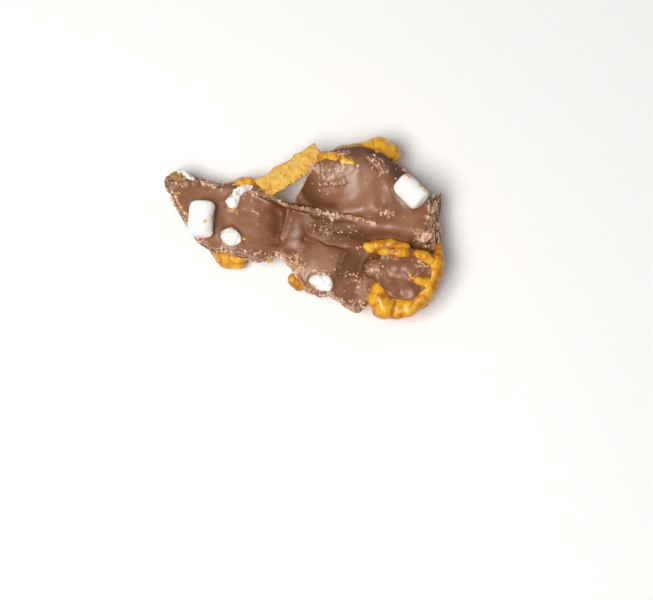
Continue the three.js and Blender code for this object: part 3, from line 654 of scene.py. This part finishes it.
VALLEY = [
    (-0.2, 2.2, 11.8, 1.0), (2.2, -1.0, 10.6, 1.5), (6.0, -2.5, 10.4, 1.8), (10.0, -3.8, 10.8, 1.6),
    (13.6, -4.9, 11.8, 1.0),
]
VALLEY_FLOOR = ((6.0, -3.9, 9.4), (0.17, 0.56, -0.81))
FIN = ((30.6, 5.0, 13.2), (33.2, 10.3, 12.0), 1.5, 0.8)
FOLD = [(-3.4, 4.0, 10.7), (-4.2, 1.0, 10.0), (-5.2, -2.4, 9.5)]
FOLD_HALF = 0.45
GULLY = ((13.4, -10.6, 13.0), (13.2, -18.0, 12.4), 2.0, 2.7)
# Hollows in the poured face, each with a flat sloping floor: one at the slab's right end, and one beside
# the saddle's crease.
DIP = ((-6.6, 0.8, 10.2), (3.3, 5.0, 4.0))
DIP_FLOOR = ((-9.2, 0.8, 10.1), (-0.58, 0.0, -0.81))
PIT = ((13.4, -8.8, 12.0), (4.8, 4.2, 4.6))
PIT_FLOOR = ((9.6, -8.8, 10.5), (-0.46, 0.12, -0.88))
CUP_FILL = ((22.2, -11.3, 8.2), (8.4, 7.3, 4.0))
CUP_LEVEL = 12.2  # how high the chocolate stands in the cup-shaped flake
BULGE = (4.6, 4.6, 3.4)  # size of the lumps on the thick end's walls, under the poured face
BULGE_DEPTH = 1.9
BULGE_SET_BACK = 0.8
BULGES_FROM = (-6, -2)  # where along the cluster they set in
LOBES = [  # the chocolate in the cup-shaped flake: middle and radii
    ((26.4, -10.2, 11.8), (3.6, 2.6, 1.4)), ((22.2, -9.6, 11.5), (2.4, 3.0, 1.3)),
    ((17.2, -10.4, 11.2), (2.8, 2.4, 1.5)), ((25.4, -15.6, 11.4), (2.7, 2.6, 1.5)),
    ((21.6, -15.2, 11.4), (1.8, 2.3, 1.3)),
]
BREAKS = [  # snapped faces: a point, the way it faces, and the X that it reaches to
    ((-27.3, 10.8, SLAB_TOP), (0.1, 0.7, 0.7), -19),
    ((29.2, 2.0, 15.0), (0.84, 0.0, 0.54), 99),
]
FURROW = ((18.4, 9.2, 17.9), (18.8, 4.8, 15.6), 0.9, 0.9)  # down the dome's face
CRACKS = [  # thin clefts: from and to, and their radii there
    ((24.2, -12.7, 12.9), (26.8, -12.3, 12.8), 0.55, 0.5),
    ((19.6, -7.4, 12.9), (20.4, -12.8, 12.7), 0.45, 0.4),
    ((20.6, -12.4, 12.7), (24.2, -13.0, 12.6), 0.4, 0.5),
    ((0.6, -3.0, 10.6), (3.0, -3.6, 10.4), 0.5, 0.3),
    ((14.8, 14.9, 18.8), (19.6, 10.4, 17.5), 0.6, 0.5), ((4.6, 14.2, 18.2), (4.7, 10.8, 18.3), 0.4, 0.35),
]
PAINTED_SHADE_PATCHES = [  # where shade is painted on the poured face: X, Y, how far it reaches and its strength
    (12.6, -7.6, 4.6, 0.75), (8.4, -12.2, 3.0, 0.5), (11.6, -15.2, 4.4, 0.6), (-5.8, 0.6, 3.8, 0.75),
    (-5.2, 2.6, 1.8, 0.9), (0.6, 6.4, 2.6, 0.6), (8.0, -1.2, 5.0, 0.8), (4.8, 0.2, 4.2, 0.95),
    (13.0, -3.6, 3.6, 0.8), (18.0, -3.8, 3.6, 0.7), (2.0, 8.0, 4.4, 0.5), (20.8, 5.4, 2.6, 0.5),
    (0.4, 0.8, 2.6, 0.4), (10.0, 16.6, 5.0, 0.4), (12.0, -9.6, 4.6, 0.6),
]
UNBROKEN = ((-5.2, 6.0), (4.8, 2.8))  # a stretch of the crest that is still as poured: middle and reach
CREASE_HIGHLIGHT_MIDDLE = (9.0, -8.4)  # of the saddle's crease, along which a highlight is painted, and of the flank beside it, on which shade is painted
SHADED_FLANK_MIDDLE = (10.6, -8.6)
PAINTED_SHEEN_PATCHES = [  # where sheen is painted as a pale patch on the poured face: X, Y, how far it reaches and its strength
    (14.2, 8.0, 8.6, 0.6), (4.4, -8.4, 6.0, 0.45), (25.0, -0.4, 5.0, 0.3), (-12.0, 3.0, 8.0, 0.12),
    (3.4, 12.6, 2.4, 0.5),
]
SCUFFS = [  # where the poured face was knocked off: X, Y, half length, half width, turn and strength
    (8.2, 10.8, 4.6, 3.0, 5, 1.6), (5.0, 12.4, 2.0, 1.8, 10, 1.0), (17.6, 14.6, 2.4, 1.4, -20, 0.8),
    (19.3, 12.0, 1.4, 1.8, 0, 0.9), (9.8, 16.2, 2.6, 1.4, 0, 0.9), (17.4, -10.8, 2.6, 2.0, 20, 0.7),
    (20.9, -6.6, 1.0, 0.7, -10, 1.0), (20.0, 2.6, 2.2, 0.7, -10, 0.7), (29.2, -3.0, 2.6, 2.2, 25, 1.4),
    (29.4, 0.6, 1.3, 3.6, 8, 1.0), (12.2, -12.4, 2.4, 0.9, -10, 0.9), (13.6, -15.4, 1.2, 3.4, 8, 1.0),
    (3.8, -10.8, 2.8, 0.8, -8, 1.0), (-0.8, -8.4, 1.7, 3.2, -15, 1.6), (-12.8, 4.2, 2.4, 0.6, -15, 0.4),
    (5.4, -1.4, 4.0, 1.5, -25, 0.6), (8.8, 1.6, 3.0, 0.7, -14, 0.8), (28.6, -9.6, 1.4, 0.8, 0, 0.7),
    (15.6, 1.0, 1.4, 0.9, -30, 1.0),
]


def wall(crest, half_thick, x, y, z):
    """A wall whose crest runs through the points given, solid all the way down."""
    nearest = np.inf
    for (ax, ay, az), (bx, by, bz) in zip(crest, crest[1:]):
        t = ((x - ax) * (bx - ax) + (y - ay) * (by - ay)) / ((bx - ax) ** 2 + (by - ay) ** 2)
        t = np.clip(t, 0, 1)
        aside = np.hypot(x - ax - t * (bx - ax), y - ay - t * (by - ay))
        above = np.maximum(z - az - t * (bz - az), 0)
        nearest = np.minimum(nearest, np.hypot(aside, above))
    return nearest - half_thick


def flat_face(at, facing, x, y, z):
    """How far points lie out from a flat face through a point, facing the way given."""
    return (x - at[0]) * facing[0] + (y - at[1]) * facing[1] + (z - at[2]) * facing[2]


def splinter(corners, x, y, z):
    """A solid with four corners and flat faces."""
    corners = np.array(corners)
    form = -1e3
    for n in range(4):
        a, b, c = corners[[m for m in range(4) if m != n]]
        out = np.cross(b - a, c - a)
        out = out / np.linalg.norm(out) * (1 if out @ (corners[n] - a) < 0 else -1)
        form = np.maximum(form, flat_face(a, out, x, y, z))
    return form


def smooth_ring(corners, pieces_each=4):
    """A closed smooth line through the corners, as a centripetal curve."""
    corners = np.array(corners)
    ring = []
    for n in range(len(corners)):
        p0, p1, p2, p3 = (corners[(n + m) % len(corners)] for m in (-1, 0, 1, 2))
        d0, d1, d2 = (np.linalg.norm(b - a) ** 0.5 for a, b in ((p0, p1), (p1, p2), (p2, p3)))
        m1 = ((p1 - p0) / d0 - (p2 - p0) / (d0 + d1) + (p2 - p1) / d1) * d1
        m2 = ((p2 - p1) / d1 - (p3 - p1) / (d1 + d2) + (p3 - p2) / d2) * d1
        for t in np.arange(pieces_each) / pieces_each:
            ring.append(p1 + m1 * t + (3 * (p2 - p1) - 2 * m1 - m2) * t ** 2
                        + (2 * (p1 - p2) + m1 + m2) * t ** 3)
    return np.array(ring)


def plan(corners, x, y):
    """The distance in plan to a closed smooth outline, negative inside."""
    ring = smooth_ring(corners)
    nearest, inside = np.inf, np.zeros(np.broadcast(x, y).shape, bool)
    for a, b in zip(ring, np.roll(ring, -1, 0)):
        t = ((x - a[0]) * (b[0] - a[0]) + (y - a[1]) * (b[1] - a[1])) / ((b - a) @ (b - a))
        t = np.clip(t, 0, 1)
        nearest = np.minimum(nearest, np.hypot(x - a[0] - t * (b[0] - a[0]), y - a[1] - t * (b[1] - a[1])))
        if a[1] != b[1]:
            crossing = ((a[1] > y) != (b[1] > y)) & (x < a[0] + (y - a[1]) * (b[0] - a[0]) / (b[1] - a[1]))
            inside ^= crossing
    return np.where(inside, -nearest, nearest)


def chocolate_parts(x, y, z):
    """The chocolate's form, with the forms that its broken places follow."""
    craggy = CRAG_DEPTH * lumps(x / CRAG, y / CRAG, z / CRAG)
    slab_face = SLAB_TOP + 0.25 * lumps(x / 7, y / 7, 3.5)
    top = z - slab_face - (BODY_TOP - slab_face) * ease(-3, 3, x)
    saddle = overlap(ellipsoid(*SADDLE, x, y, z) + 0.3 * craggy, flat_face(*SADDLE_CREASE, x, y, z), 0.4)
    top = join(top, saddle, 1.0)
    dome = overlap(ellipsoid(*DOME, x, y, z), flat_face(*DOME_FACE, x, y, z), 3.0)
    top = join(top, dome + 0.3 * craggy, 1.6)
    for at, radii, soft in MOUNDS:
        top = join(top, ellipsoid(at, radii, x, y, z) + 0.3 * craggy, soft)
    top = carve(top, rod(*FURROW, x, y, z), 1.6)
    dip = overlap(ellipsoid(*DIP, x, y, z), flat_face(*DIP_FLOOR, x, y, z), 1.4)
    pit = overlap(ellipsoid(*PIT, x, y, z), flat_face(*PIT_FLOOR, x, y, z), 2.0)
    top = carve(carve(top, dip, 1.4), pit, 1.0)
    top = join(top, overlap(strand(ROLL, x, y, z), flat_face(*ROLL_FACE, x, y, z), 1.5), 2.0)
    top = join(top, rod(*NUB, x, y, z), 1.6)
    top = carve(top, overlap(strand(VALLEY, x, y, z), flat_face(*VALLEY_FLOOR, x, y, z), 0.4), 0.4)
    top = join(top, wall(CREST, CREST_HALF, x, y, z) + 0.5 * craggy, 0.5)
    top = join(top, wall(LEDGE, LEDGE_HALF, x, y, z) + 0.6 * craggy, 0.4)
    lip = wall(FRONT_LIP, FRONT_LIP_HALF, x, y, z) + 0.5 * craggy
    top = join(top, lip, 0.5)
    fin = rod(*FIN, x, y, z)
    top = join(top, fin, 0.8)
    top = carve(top, rod(*GULLY, x, y, z), 1.2)
    top = join(top, wall(FOLD, FOLD_HALF, x, y, z), 1.4)

    tuck = WALL_TUCK * np.maximum(BODY_TOP - 1 - z, 0) ** 2
    bulges = lumps(x / BULGE[0], y / BULGE[1], z / BULGE[2] + 20)
    bulges = BULGE_DEPTH * ease(*BULGES_FROM, x) * bulges + BULGE_SET_BACK
    crags = craggy + ease(BODY_TOP, 6, z) * bulges
    edge = join(plan(SLAB_PLAN, x, y), plan(BODY_PLAN, x, y), 1.2) + crags + tuck
    form = overlap(edge, top, 0.9)
    form = join(form, ellipsoid(*CUP_FILL, x, y, z), 0.9)
    form = join(form, overlap(cup_hollow(x, y, z), z - CUP_LEVEL, 0.5), 0.7)
    for lobe in LOBES + CHIPS:
        form = join(form, ellipsoid(*lobe, x, y, z) + 0.4 * craggy, 0.25)
    form = join(form, splinter(SHARD, x, y, z), 0.2)
    for crack in CRACKS:
        form = carve(form, rod(*crack, x, y, z), 0.3)
    snaps = []
    for at, facing, until in BREAKS:
        snap = flat_face(at, facing, x, y, z) - craggy
        form = np.where(x < until, overlap(form, snap, 0.4), form)
        snaps.append(np.where(x < until, snap, -9.0))
    underside = SLAB_UNDER * ease(*UNDERCUT, x) * (1 + 0.3 * lumps(x / 4, y / 4, 9.5))
    form = np.where(x < UNDERCUT[0], overlap(form, underside - z, 0.8), form)
    return overlap(form, -z, 0.3), top, edge, lip, fin, snaps


def crest_line(x, y, z):
    return strand([(*corner, CREST_HALF) for corner in CREST], x, y, z)


def in_cup(outer, inner, x, y, z):
    """The share of the chocolate that fills the cup-shaped flake: all of it inside the inner radius."""
    off = np.hypot(x - CUP_HOLLOW["at"][0], y - CUP_HOLLOW["at"][1])
    return ease(outer, inner, off) * ease(9.5, 10.5, z)


def broken_share(x, y, z):
    """How broken the chocolate is at points on it, and how far its face is scuffed off, from 0 to 1."""
    _, top, edge, lip, fin, snaps = chocolate_parts(x, y, z)
    (middle_x, middle_y), (reach_x, reach_y) = UNBROKEN
    unbroken = ease(1.0, 0.6, np.hypot((x - middle_x) / reach_x, (y - middle_y) / reach_y))
    bare = 1 - in_cup(8.2, 7.4, x, y, z)
    flank = ease(1.0, 0.4, np.abs(edge)) * ease(0.2, -0.9, top)
    patchy = lumps(x / 5.5, y / 5.5, z / 4.5 + 40) + 0.4 * lumps(x / 2, y / 2, z / 2 + 40)
    thick = 0.2 + 0.4 * ease(-0.6, 0.6, lumps(x / 2.6, y / 2.6, z / 2.6 + 60))
    rim = ease(thick + 0.4, thick, np.abs(edge)) * ease(-0.9, -0.3, top)
    broken = [ease(0.3, -0.1, crest_line(x, y, z)) * (1 - unbroken)]
    broken += [ease(0.5, 0.0, lip), ease(0.4, 0.0, fin)]
    broken += [flank * ease(-0.25, 0.35, patchy) * bare, rim * bare]
    broken += [ease(-0.9, -0.1, snap) for snap in snaps]
    torn = lumps(x / 1.1, y / 1.1, z / 1.1) + 0.8 * lumps(x / 0.5, y / 0.5, z / 0.5)
    scuffed = np.zeros(len(x))
    for at_x, at_y, half_long, half_wide, degrees, strength in SCUFFS:
        along, aside = turn(x - at_x, y - at_y, degrees)
        off = np.hypot(along / half_long, aside / half_wide)
        cover = ease(0.0, 0.7, 0.45 + 0.4 * strength - off + 0.6 * torn) * ease(1.7, 1.1, off)
        scuffed = np.maximum(scuffed, min(strength, 1.0) * cover * ease(8.5, 9.5, z))
    return np.max(broken, axis=0), scuffed


def wear_and_crease_highlight_share(x, y, z):
    """How far the sharp edge between the poured face and the broken one is worn light, and where a highlight
    is painted along the saddle's crease, from 0 to 1.
    """
    _, top, edge, lip, fin, snaps = chocolate_parts(x, y, z)
    patchy = lumps(x / 1.6, y / 1.6, z / 1.6 + 30) + 0.5 * lumps(x / 0.6, y / 0.6, z / 0.6 + 30)
    patchy = ease(-0.5, 0.4, patchy)
    sharp = [ease(0.55, 0.1, np.abs(border)) * ease(-0.9, -0.4, top) for border in [edge, *snaps]]
    sharp += [ease(0.2, -0.2, crest_line(x, y, z)), ease(0.2, -0.2, lip), ease(0.3, 0.0, fin)]
    worn = patchy * np.max(sharp, axis=0) * (1 - in_cup(8.4, 7.6, x, y, z))
    shard = ease(0.3, 0.1, np.abs(splinter(SHARD, x, y, z))) * ease(16.2, 16.8, z)
    # A painted highlight along the saddle's crease.
    crease = ease(0.13, 0.03, np.abs(flat_face(*SADDLE_CREASE, x, y, z)))
    crease = crease * ease(3.8, 1.8, np.hypot(x - CREASE_HIGHLIGHT_MIDDLE[0], y - CREASE_HIGHLIGHT_MIDDLE[1]))
    return np.max([worn, shard, (0.25 + 0.3 * patchy) * crease * ease(8.5, 9.5, z)], axis=0)


def upward(points, faces):
    """How far the skin faces up at each of its points, from -1 to 1."""
    across = np.cross(points[faces[:, 2]] - points[faces[:, 0]], points[faces[:, 3]] - points[faces[:, 1]])
    total = np.zeros((len(points), 3))
    for corner in faces.T:
        np.add.at(total, corner, across)
    return total[:, 2] / np.linalg.norm(total, axis=1)


def crumble(x, y, z):
    """The rough relief of broken chocolate: clumps with clefts between them, from about -1 to 1. On the
    face that snapped at the right they are drawn out into fibres."""
    y = np.where(x > SNAPPED_FROM, y / 1.5, y)
    large = np.abs(lumps(x / 1.2, y / 1.2, z / 1.2 + 9))
    small = np.abs(lumps(x / 0.6, y / 0.6, z / 0.6 + 9))
    return 1.0 - 1.6 * (large + 0.8 * small) + 0.5 * lumps(x / 0.45, y / 0.45, z / 0.45)


# The form is worked out once on the whole grid. Relief is then added near its skin: rugged where the
# chocolate broke, and soft waves where it was poured, which climb a little at each piece set in it.
RELIEF_BAND = 1.6
RELIEF = 0.24
SNAPPED_RELIEF = 0.32
CLIMB = 0.3
CLIMB_REACH = 0.5

low, high = np.array([-35.0, -22.5, -1.0]), np.array([35.5, 21.5, 21.5])
axes = grid_axes(low, high, CHOCOLATE_STEP)
value = chocolate_parts(*axes)[0]
skin_deep = tuple(np.argwhere(np.abs(value) < RELIEF_BAND).T)
points = low + np.stack(skin_deep, 1) * CHOCOLATE_STEP
rough, scuffed = broken_share(*points.T)
rough = np.maximum(rough, 0.6 * scuffed)
climb = np.zeros(len(points))
for form, piece_low, piece_high in SHAPES.values():
    near = np.all((points > piece_low - 1.5) & (points < piece_high + 1.5), axis=1)
    climb[near] += CLIMB * np.exp(-(np.maximum(form(*points[near].T), 0) / CLIMB_REACH) ** 2)
waves = 0.20 * lumps(*(points / 3.4).T) + 0.05 * lumps(*(points / 1.3).T)
depth = np.where(points[:, 0] > SNAPPED_FROM, SNAPPED_RELIEF, RELIEF)
relief = rough * depth * crumble(*points.T) + (1 - rough) * (waves - climb)
value[skin_deep] += relief * ease(0.0, 1.0, points[:, 2])
points, faces = skin(value, low, CHOCOLATE_STEP)


def patches(places):
    """How strongly round patches cover the points, each fading out towards its reach."""
    cover = [strength * ease(1.0, 0.3, np.hypot(points[:, 0] - x, points[:, 1] - y) / reach)
             for x, y, reach, strength in places]
    return np.max(cover, axis=0)


broken, scuffed = broken_share(*points.T)
# Painted shade on the saddle's flank that faces right, away from the window, starting at its crease.
flank = ease(-0.6, -0.1, flat_face(*SADDLE_CREASE, *points.T))
flank = flank * ease(5.2, 3.6, np.hypot(points[:, 0] - SHADED_FLANK_MIDDLE[0], points[:, 1] - SHADED_FLANK_MIDDLE[1]))
# Where shade is painted: the listed patches, and the saddle's right flank.
painted_shade = np.maximum(patches(PAINTED_SHADE_PATCHES), 0.8 * flank)
# Painted sheen, left off the shaded flank.
painted_sheen = patches(PAINTED_SHEEN_PATCHES) * (1 - flank)
rugged = crumble(*points.T)
# Shade is painted on faces that turn away from straight up and in the painted shade patches; this share is 1
# where none is painted.
out_of_painted_shade = ease(0.45, 0.88, upward(points, faces)) * (1 - painted_shade)
marks = {
    "broken": broken,
    "scuffed": scuffed,
    "painted_sheen": painted_sheen,
    # height paints shade into the dents of the broken relief and lighter dust onto its raised clumps
    "height": np.where(points[:, 0] > SNAPPED_FROM, 0.03 - 0.42 * rugged, -0.22 * rugged),
    # worn also holds the painted highlight along the saddle's crease
    "worn": wear_and_crease_highlight_share(*points.T),
    "out_of_painted_shade": out_of_painted_shade,
    "dry": np.maximum(broken, 0.6 * (1 - out_of_painted_shade)),
}

CHOCOLATE_SATIN = (0.262, 0.106, 0.043)  # as poured, and in its darker clouds
CHOCOLATE_DEEP = (0.18, 0.062, 0.018)
CHOCOLATE_PAINTED_SHADE = (0.135, 0.042, 0.006)  # painted shade, on steep faces and in the painted shade patches
CHOCOLATE_PAINTED_SHEEN = (0.38, 0.19, 0.11)  # painted sheen
CHOCOLATE_SCUFFED = (0.32, 0.165, 0.088)
# painted shade in the dents of broken chocolate
CHOCOLATE_CLEFT_SHADE = (0.13, 0.045, 0.014)
CHOCOLATE_BROKEN = (0.27, 0.122, 0.056)
CHOCOLATE_DUST = (0.70, 0.45, 0.30)
CRUMB_PALE = (0.82, 0.58, 0.42)

milk_chocolate, tree, shader, place = finish("milk_chocolate", Specular_IOR_Level=0.6)
poured = ramp(tree, noise(tree, place, 120, 4.0, 0.6), [(0.3, CHOCOLATE_DEEP), (0.6, CHOCOLATE_SATIN)])
# Painted shade: the poured colour gives way to a dark brown on steep faces and in the shade patches.
poured = mixed(tree, mark(tree, "out_of_painted_shade"), CHOCOLATE_PAINTED_SHADE, poured)
# Painted sheen: paler patches on the poured face.
poured = mixed(tree, mark(tree, "painted_sheen"), poured, CHOCOLATE_PAINTED_SHEEN)
specks = ramp(tree, noise(tree, place, 2600, 2.0, 0.5), [(0.66, 0.0), (0.72, 1.0)])
specked = ramp(tree, noise(tree, place, 210, 3.0, 0.6), [(0.50, 0.0), (0.62, 0.8)])
poured = mixed(tree, mixed(tree, specked, (0.0, 0.0, 0.0), specks), poured, CHOCOLATE_DUST)
# The height mark paints shade into the dents of the broken relief and lighter dust onto its raised clumps.
speckle = scaled_sum(tree, noise(tree, place, 1500, 4.0, 0.75), 1.3, mark(tree, "height"))
flaked = ramp(tree, speckle, [(0.36, CHOCOLATE_BROKEN), (0.54, CHOCOLATE_SCUFFED), (0.70, CHOCOLATE_SCUFFED),
                              (0.86, CHOCOLATE_DUST)])
torn = ramp(tree, speckle, [(0.40, CHOCOLATE_CLEFT_SHADE), (0.56, CHOCOLATE_BROKEN), (0.68, CHOCOLATE_BROKEN),
                            (0.86, CHOCOLATE_DUST)])
colour = mixed(tree, mark(tree, "scuffed"), poured, flaked)
colour = mixed(tree, mark(tree, "broken"), colour, torn)
# The worn mark lightens worn edges and paints the highlight along the saddle's crease.
rim = ramp(tree, mark(tree, "worn"), [(0.2, 0.0), (1.0, 0.55)])
colour = mixed(tree, rim, colour, CHOCOLATE_DUST)
tree.links.new(colour, shader.inputs["Base Color"])
tree.links.new(ramp(tree, mark(tree, "dry"), [(0.0, 0.40), (0.6, 0.8)]), shader.inputs["Roughness"])
fine = noise(tree, place, 1800, 4.0, 0.65)
tree.links.new(bump(tree, fine, 0.12, 0.0003), shader.inputs["Normal"])
as_piece("bark", points, faces, ["chocolate"], milk_chocolate, marks)

# Crumbs. Breaking the bark leaves crumbs of chocolate along its broken edges and dusts them over its face,
# with a few of graham and caramel among them.
CRUMB_SEED = 7
CRUMB_COUNT = 1500
CRUMB_RADIUS = 0.15  # of a middling one
SPARSE_FROM = 28  # the X from where fewer lie, on the snapped face


def crumb_tree():
    """Geometry nodes that put a crumb at every point of a mesh, as large as the point's own size says."""
    tree = bpy.data.node_groups.new("crumbs_at_points", "GeometryNodeTree")
    tree.interface.new_socket("Points", in_out="INPUT", socket_type="NodeSocketGeometry")
    inputs = (("Crumb size", "Float", 1.0), ("Seed", "Int", 1), ("Ruggedness", "Float", 0.5),
              ("Finish", "Material", None))
    for name, kind, value in inputs:
        socket = tree.interface.new_socket(name, in_out="INPUT", socket_type="NodeSocket" + kind)
        if value is not None:
            socket.default_value = value
    tree.interface.new_socket("Crumbs", in_out="OUTPUT", socket_type="NodeSocketGeometry")
    given = tree.nodes.new("NodeGroupInput").outputs
    result = tree.nodes.new("NodeGroupOutput")

    ball = new_node(tree, "GeometryNodeMeshIcoSphere", {"Subdivisions": 2})
    size = new_node(tree, "GeometryNodeInputNamedAttribute", {"Name": "size"}, data_type="FLOAT")
    scaled = new_node(tree, "ShaderNodeMath", {0: size.outputs["Attribute"], 1: given["Crumb size"]},
                      operation="MULTIPLY")
    stretch = new_node(tree, "FunctionNodeRandomValue",
                       {"Min": (0.4, 0.5, 0.3), "Max": (1.5, 1.2, 0.8), "Seed": given["Seed"]},
                       data_type="FLOAT_VECTOR")
    shape = new_node(tree, "ShaderNodeVectorMath",
                     {"Vector": stretch.outputs["Value"], "Scale": scaled.outputs[0]}, operation="SCALE")
    spin = new_node(tree, "FunctionNodeRandomValue",
                    {"Max": (math.tau, math.tau, math.tau), "Seed": given["Seed"]}, data_type="FLOAT_VECTOR")
    dots = new_node(tree, "GeometryNodeMeshToPoints", {"Mesh": given["Points"]})
    placed = new_node(tree, "GeometryNodeInstanceOnPoints", {
        "Points": dots.outputs["Points"], "Instance": ball.outputs["Mesh"],
        "Rotation": spin.outputs["Value"], "Scale": shape.outputs["Vector"]})
    real = new_node(tree, "GeometryNodeRealizeInstances", {"Geometry": placed.outputs["Instances"]})

    wobble = new_node(tree, "ShaderNodeTexNoise", {"Scale": 2600, "Detail": 1.0})
    centred = new_node(tree, "ShaderNodeVectorMath", {0: wobble.outputs["Color"], 1: (0.5, 0.5, 0.5)},
                       operation="SUBTRACT")
    amount = new_node(tree, "ShaderNodeMath", {0: given["Ruggedness"], 1: given["Crumb size"]},
                      operation="MULTIPLY")
    shift = new_node(tree, "ShaderNodeVectorMath",
                     {"Vector": centred.outputs["Vector"], "Scale": amount.outputs[0]}, operation="SCALE")
    moved = new_node(tree, "GeometryNodeSetPosition",
                     {"Geometry": real.outputs["Geometry"], "Offset": shift.outputs["Vector"]})
    coloured = new_node(tree, "GeometryNodeSetMaterial",
                        {"Geometry": moved.outputs["Geometry"], "Material": given["Finish"]})
    tree.links.new(coloured.outputs["Geometry"], result.inputs["Crumbs"])
    return tree


def crumbs_as_piece(name, points, sizes, tree, material, seed):
    """Makes one piece of a crumb at each of the points, which are in millimetres, as are the sizes."""
    seeds = bpy.data.meshes.new(name)
    seeds.from_pydata([tuple(p) for p in (points - MIDDLE) / 1000], [], [])
    seeds.attributes.new("size", "FLOAT", "POINT").data.foreach_set("value", sizes.astype(np.float32))
    piece = bpy.data.objects.new(name, seeds)
    bpy.context.scene.collection.objects.link(piece)
    modifier = piece.modifiers.new("crumbs", "NODES")
    modifier.node_group = tree
    sockets = {item.name: item.identifier for item in tree.interface.items_tree if item.in_out == "INPUT"}
    modifier[sockets["Crumb size"]] = 0.001
    modifier[sockets["Seed"]] = seed
    modifier[sockets["Ruggedness"]] = 0.5
    modifier[sockets["Finish"]] = material
    shaped = piece.evaluated_get(bpy.context.evaluated_depsgraph_get())
    mesh = bpy.data.meshes.new_from_object(shaped)
    piece.modifiers.clear()
    piece.data = mesh
    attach(piece, "root")


dust, tree, shader, place = finish("chocolate_crumbs", Roughness=0.85)
colour = ramp(tree, noise(tree, place, 900, 3.0, 0.6),
              [(0.35, CHOCOLATE_BROKEN), (0.50, CHOCOLATE_DUST), (0.68, CRUMB_PALE)])
tree.links.new(colour, shader.inputs["Base Color"])

TRAILS = [  # where crumbs gathered: X and Y from and to, how many, how far they spread, and their radius
    (1.6, 0.4, 11.8, -3.0, 60, 0.9, 0.18), (-6.3, -6.6, -0.6, -11.2, 120, 0.45, 0.28),
    (-1.8, -8.2, -0.4, -9.6, 9, 0.3, 0.6), (-2.2, -7.0, -0.2, -10.8, 60, 0.5, 0.32),
    (10.6, -11.2, 14.6, -12.8, 40, 0.5, 0.2), (7.7, 16.6, 11.8, 15.4, 40, 0.5, 0.18),
    (16.4, 14.8, 19.6, 11.8, 50, 0.9, 0.2), (18.0, 3.2, 21.5, 1.4, 35, 0.4, 0.22),
    (26.8, -8.8, 29.6, -10.4, 30, 0.5, 0.2), (-24.2, 11.4, -20.6, 10.7, 30, 0.3, 0.25),
    (-18.0, 8.8, -9.0, 6.8, 25, 0.5, 0.18), (-12.0, 8.2, -8.0, 6.8, 10, 0.4, 0.22),
    (3.6, 3.0, 17.0, -0.4, 90, 0.4, 0.22), (6.6, 1.8, 7.2, 0.2, 8, 0.2, 0.5),
    (15.4, 0.6, 17.2, -0.6, 8, 0.3, 0.45), (15.6, -9.9, 18.6, -12.0, 40, 0.9, 0.2),
    (26.6, -2.6, 31.0, -4.6, 70, 0.8, 0.2), (27.8, -3.8, 30.4, -2.8, 9, 0.3, 0.6),
    (1.6, -10.8, 6.5, -11.3, 40, 0.4, 0.25), (4.4, 10.8, 11.6, 9.8, 60, 1.4, 0.16),
    (11.6, -17.4, 14.4, -18.6, 30, 0.5, 0.25), (-13.0, 4.6, -10.6, 3.0, 25, 0.4, 0.2),
    (-20.0, -4.4, -9.0, -6.6, 40, 0.4, 0.2), (-31.8, 9.8, -26.2, -0.6, 90, 0.2, 0.21),
]
GOLD_CRUMBS = [  # bits of graham and caramel: X, Y and radius
    (-29.6, 8.6, 0.5), (-12.3, 6.8, 0.45), (-16.3, 4.4, 0.4), (-15.4, 3.3, 0.5), (-13.7, -2.8, 0.55),
    (13.9, 0.8, 0.5), (13.0, -5.3, 0.4), (13.9, -5.0, 0.35), (21.6, -6.4, 0.5), (25.4, -12.4, 0.5),
]


def settle(places, points):
    """The highest of the points that lie near each place in plan."""
    found = []
    for place in places:
        near = points[np.hypot(points[:, 0] - place[0], points[:, 1] - place[1]) < 0.35]
        if len(near):
            found.append(near[near[:, 2].argmax()])
    return np.array(found)


crumbs_tree = crumb_tree()
dice = np.random.default_rng(CRUMB_SEED)
facing_up = points[:, 2] > 8.0
weight = np.where(facing_up, 0.02 + broken ** 2 + 0.15 * scuffed, 0.04 * broken * (points[:, 2] > 1))
weight = weight * np.where(points[:, 0] > SPARSE_FROM, 0.3, 1.0)
chosen = dice.choice(len(points), CRUMB_COUNT, replace=False, p=weight / weight.sum())
upper = points[facing_up]
places = [points[chosen]]
sizes = [dice.lognormal(math.log(CRUMB_RADIUS), 0.5, CRUMB_COUNT)]
for x0, y0, x1, y1, count, spread, radius in TRAILS:
    along = dice.random(count)[:, None]
    trail = np.array([x0, y0]) + along * np.array([x1 - x0, y1 - y0]) + dice.normal(0, spread, (count, 2))
    places.append(settle(trail, upper))
    sizes.append(dice.lognormal(math.log(radius), 0.4, len(places[-1])))
places, sizes = np.concatenate(places), np.clip(np.concatenate(sizes), 0.08, 0.8)
crumbs_as_piece("chocolate_crumbs", places, sizes, crumbs_tree, dust, 3)

golden, golden_sizes = [], []
for x, y, radius in GOLD_CRUMBS:
    off = dice.normal(0, 0.5, (3, 2)) * [[0], [1], [1]]  # the first lies on the place, the others beside it
    golden += [(x + off_x, y + off_y) for off_x, off_y in off]
    golden_sizes += [radius, 0.45 * radius, 0.35 * radius]
crumbs_as_piece("graham_crumbs", settle(golden, upper), np.array(golden_sizes), crumbs_tree,
                graham, 5)
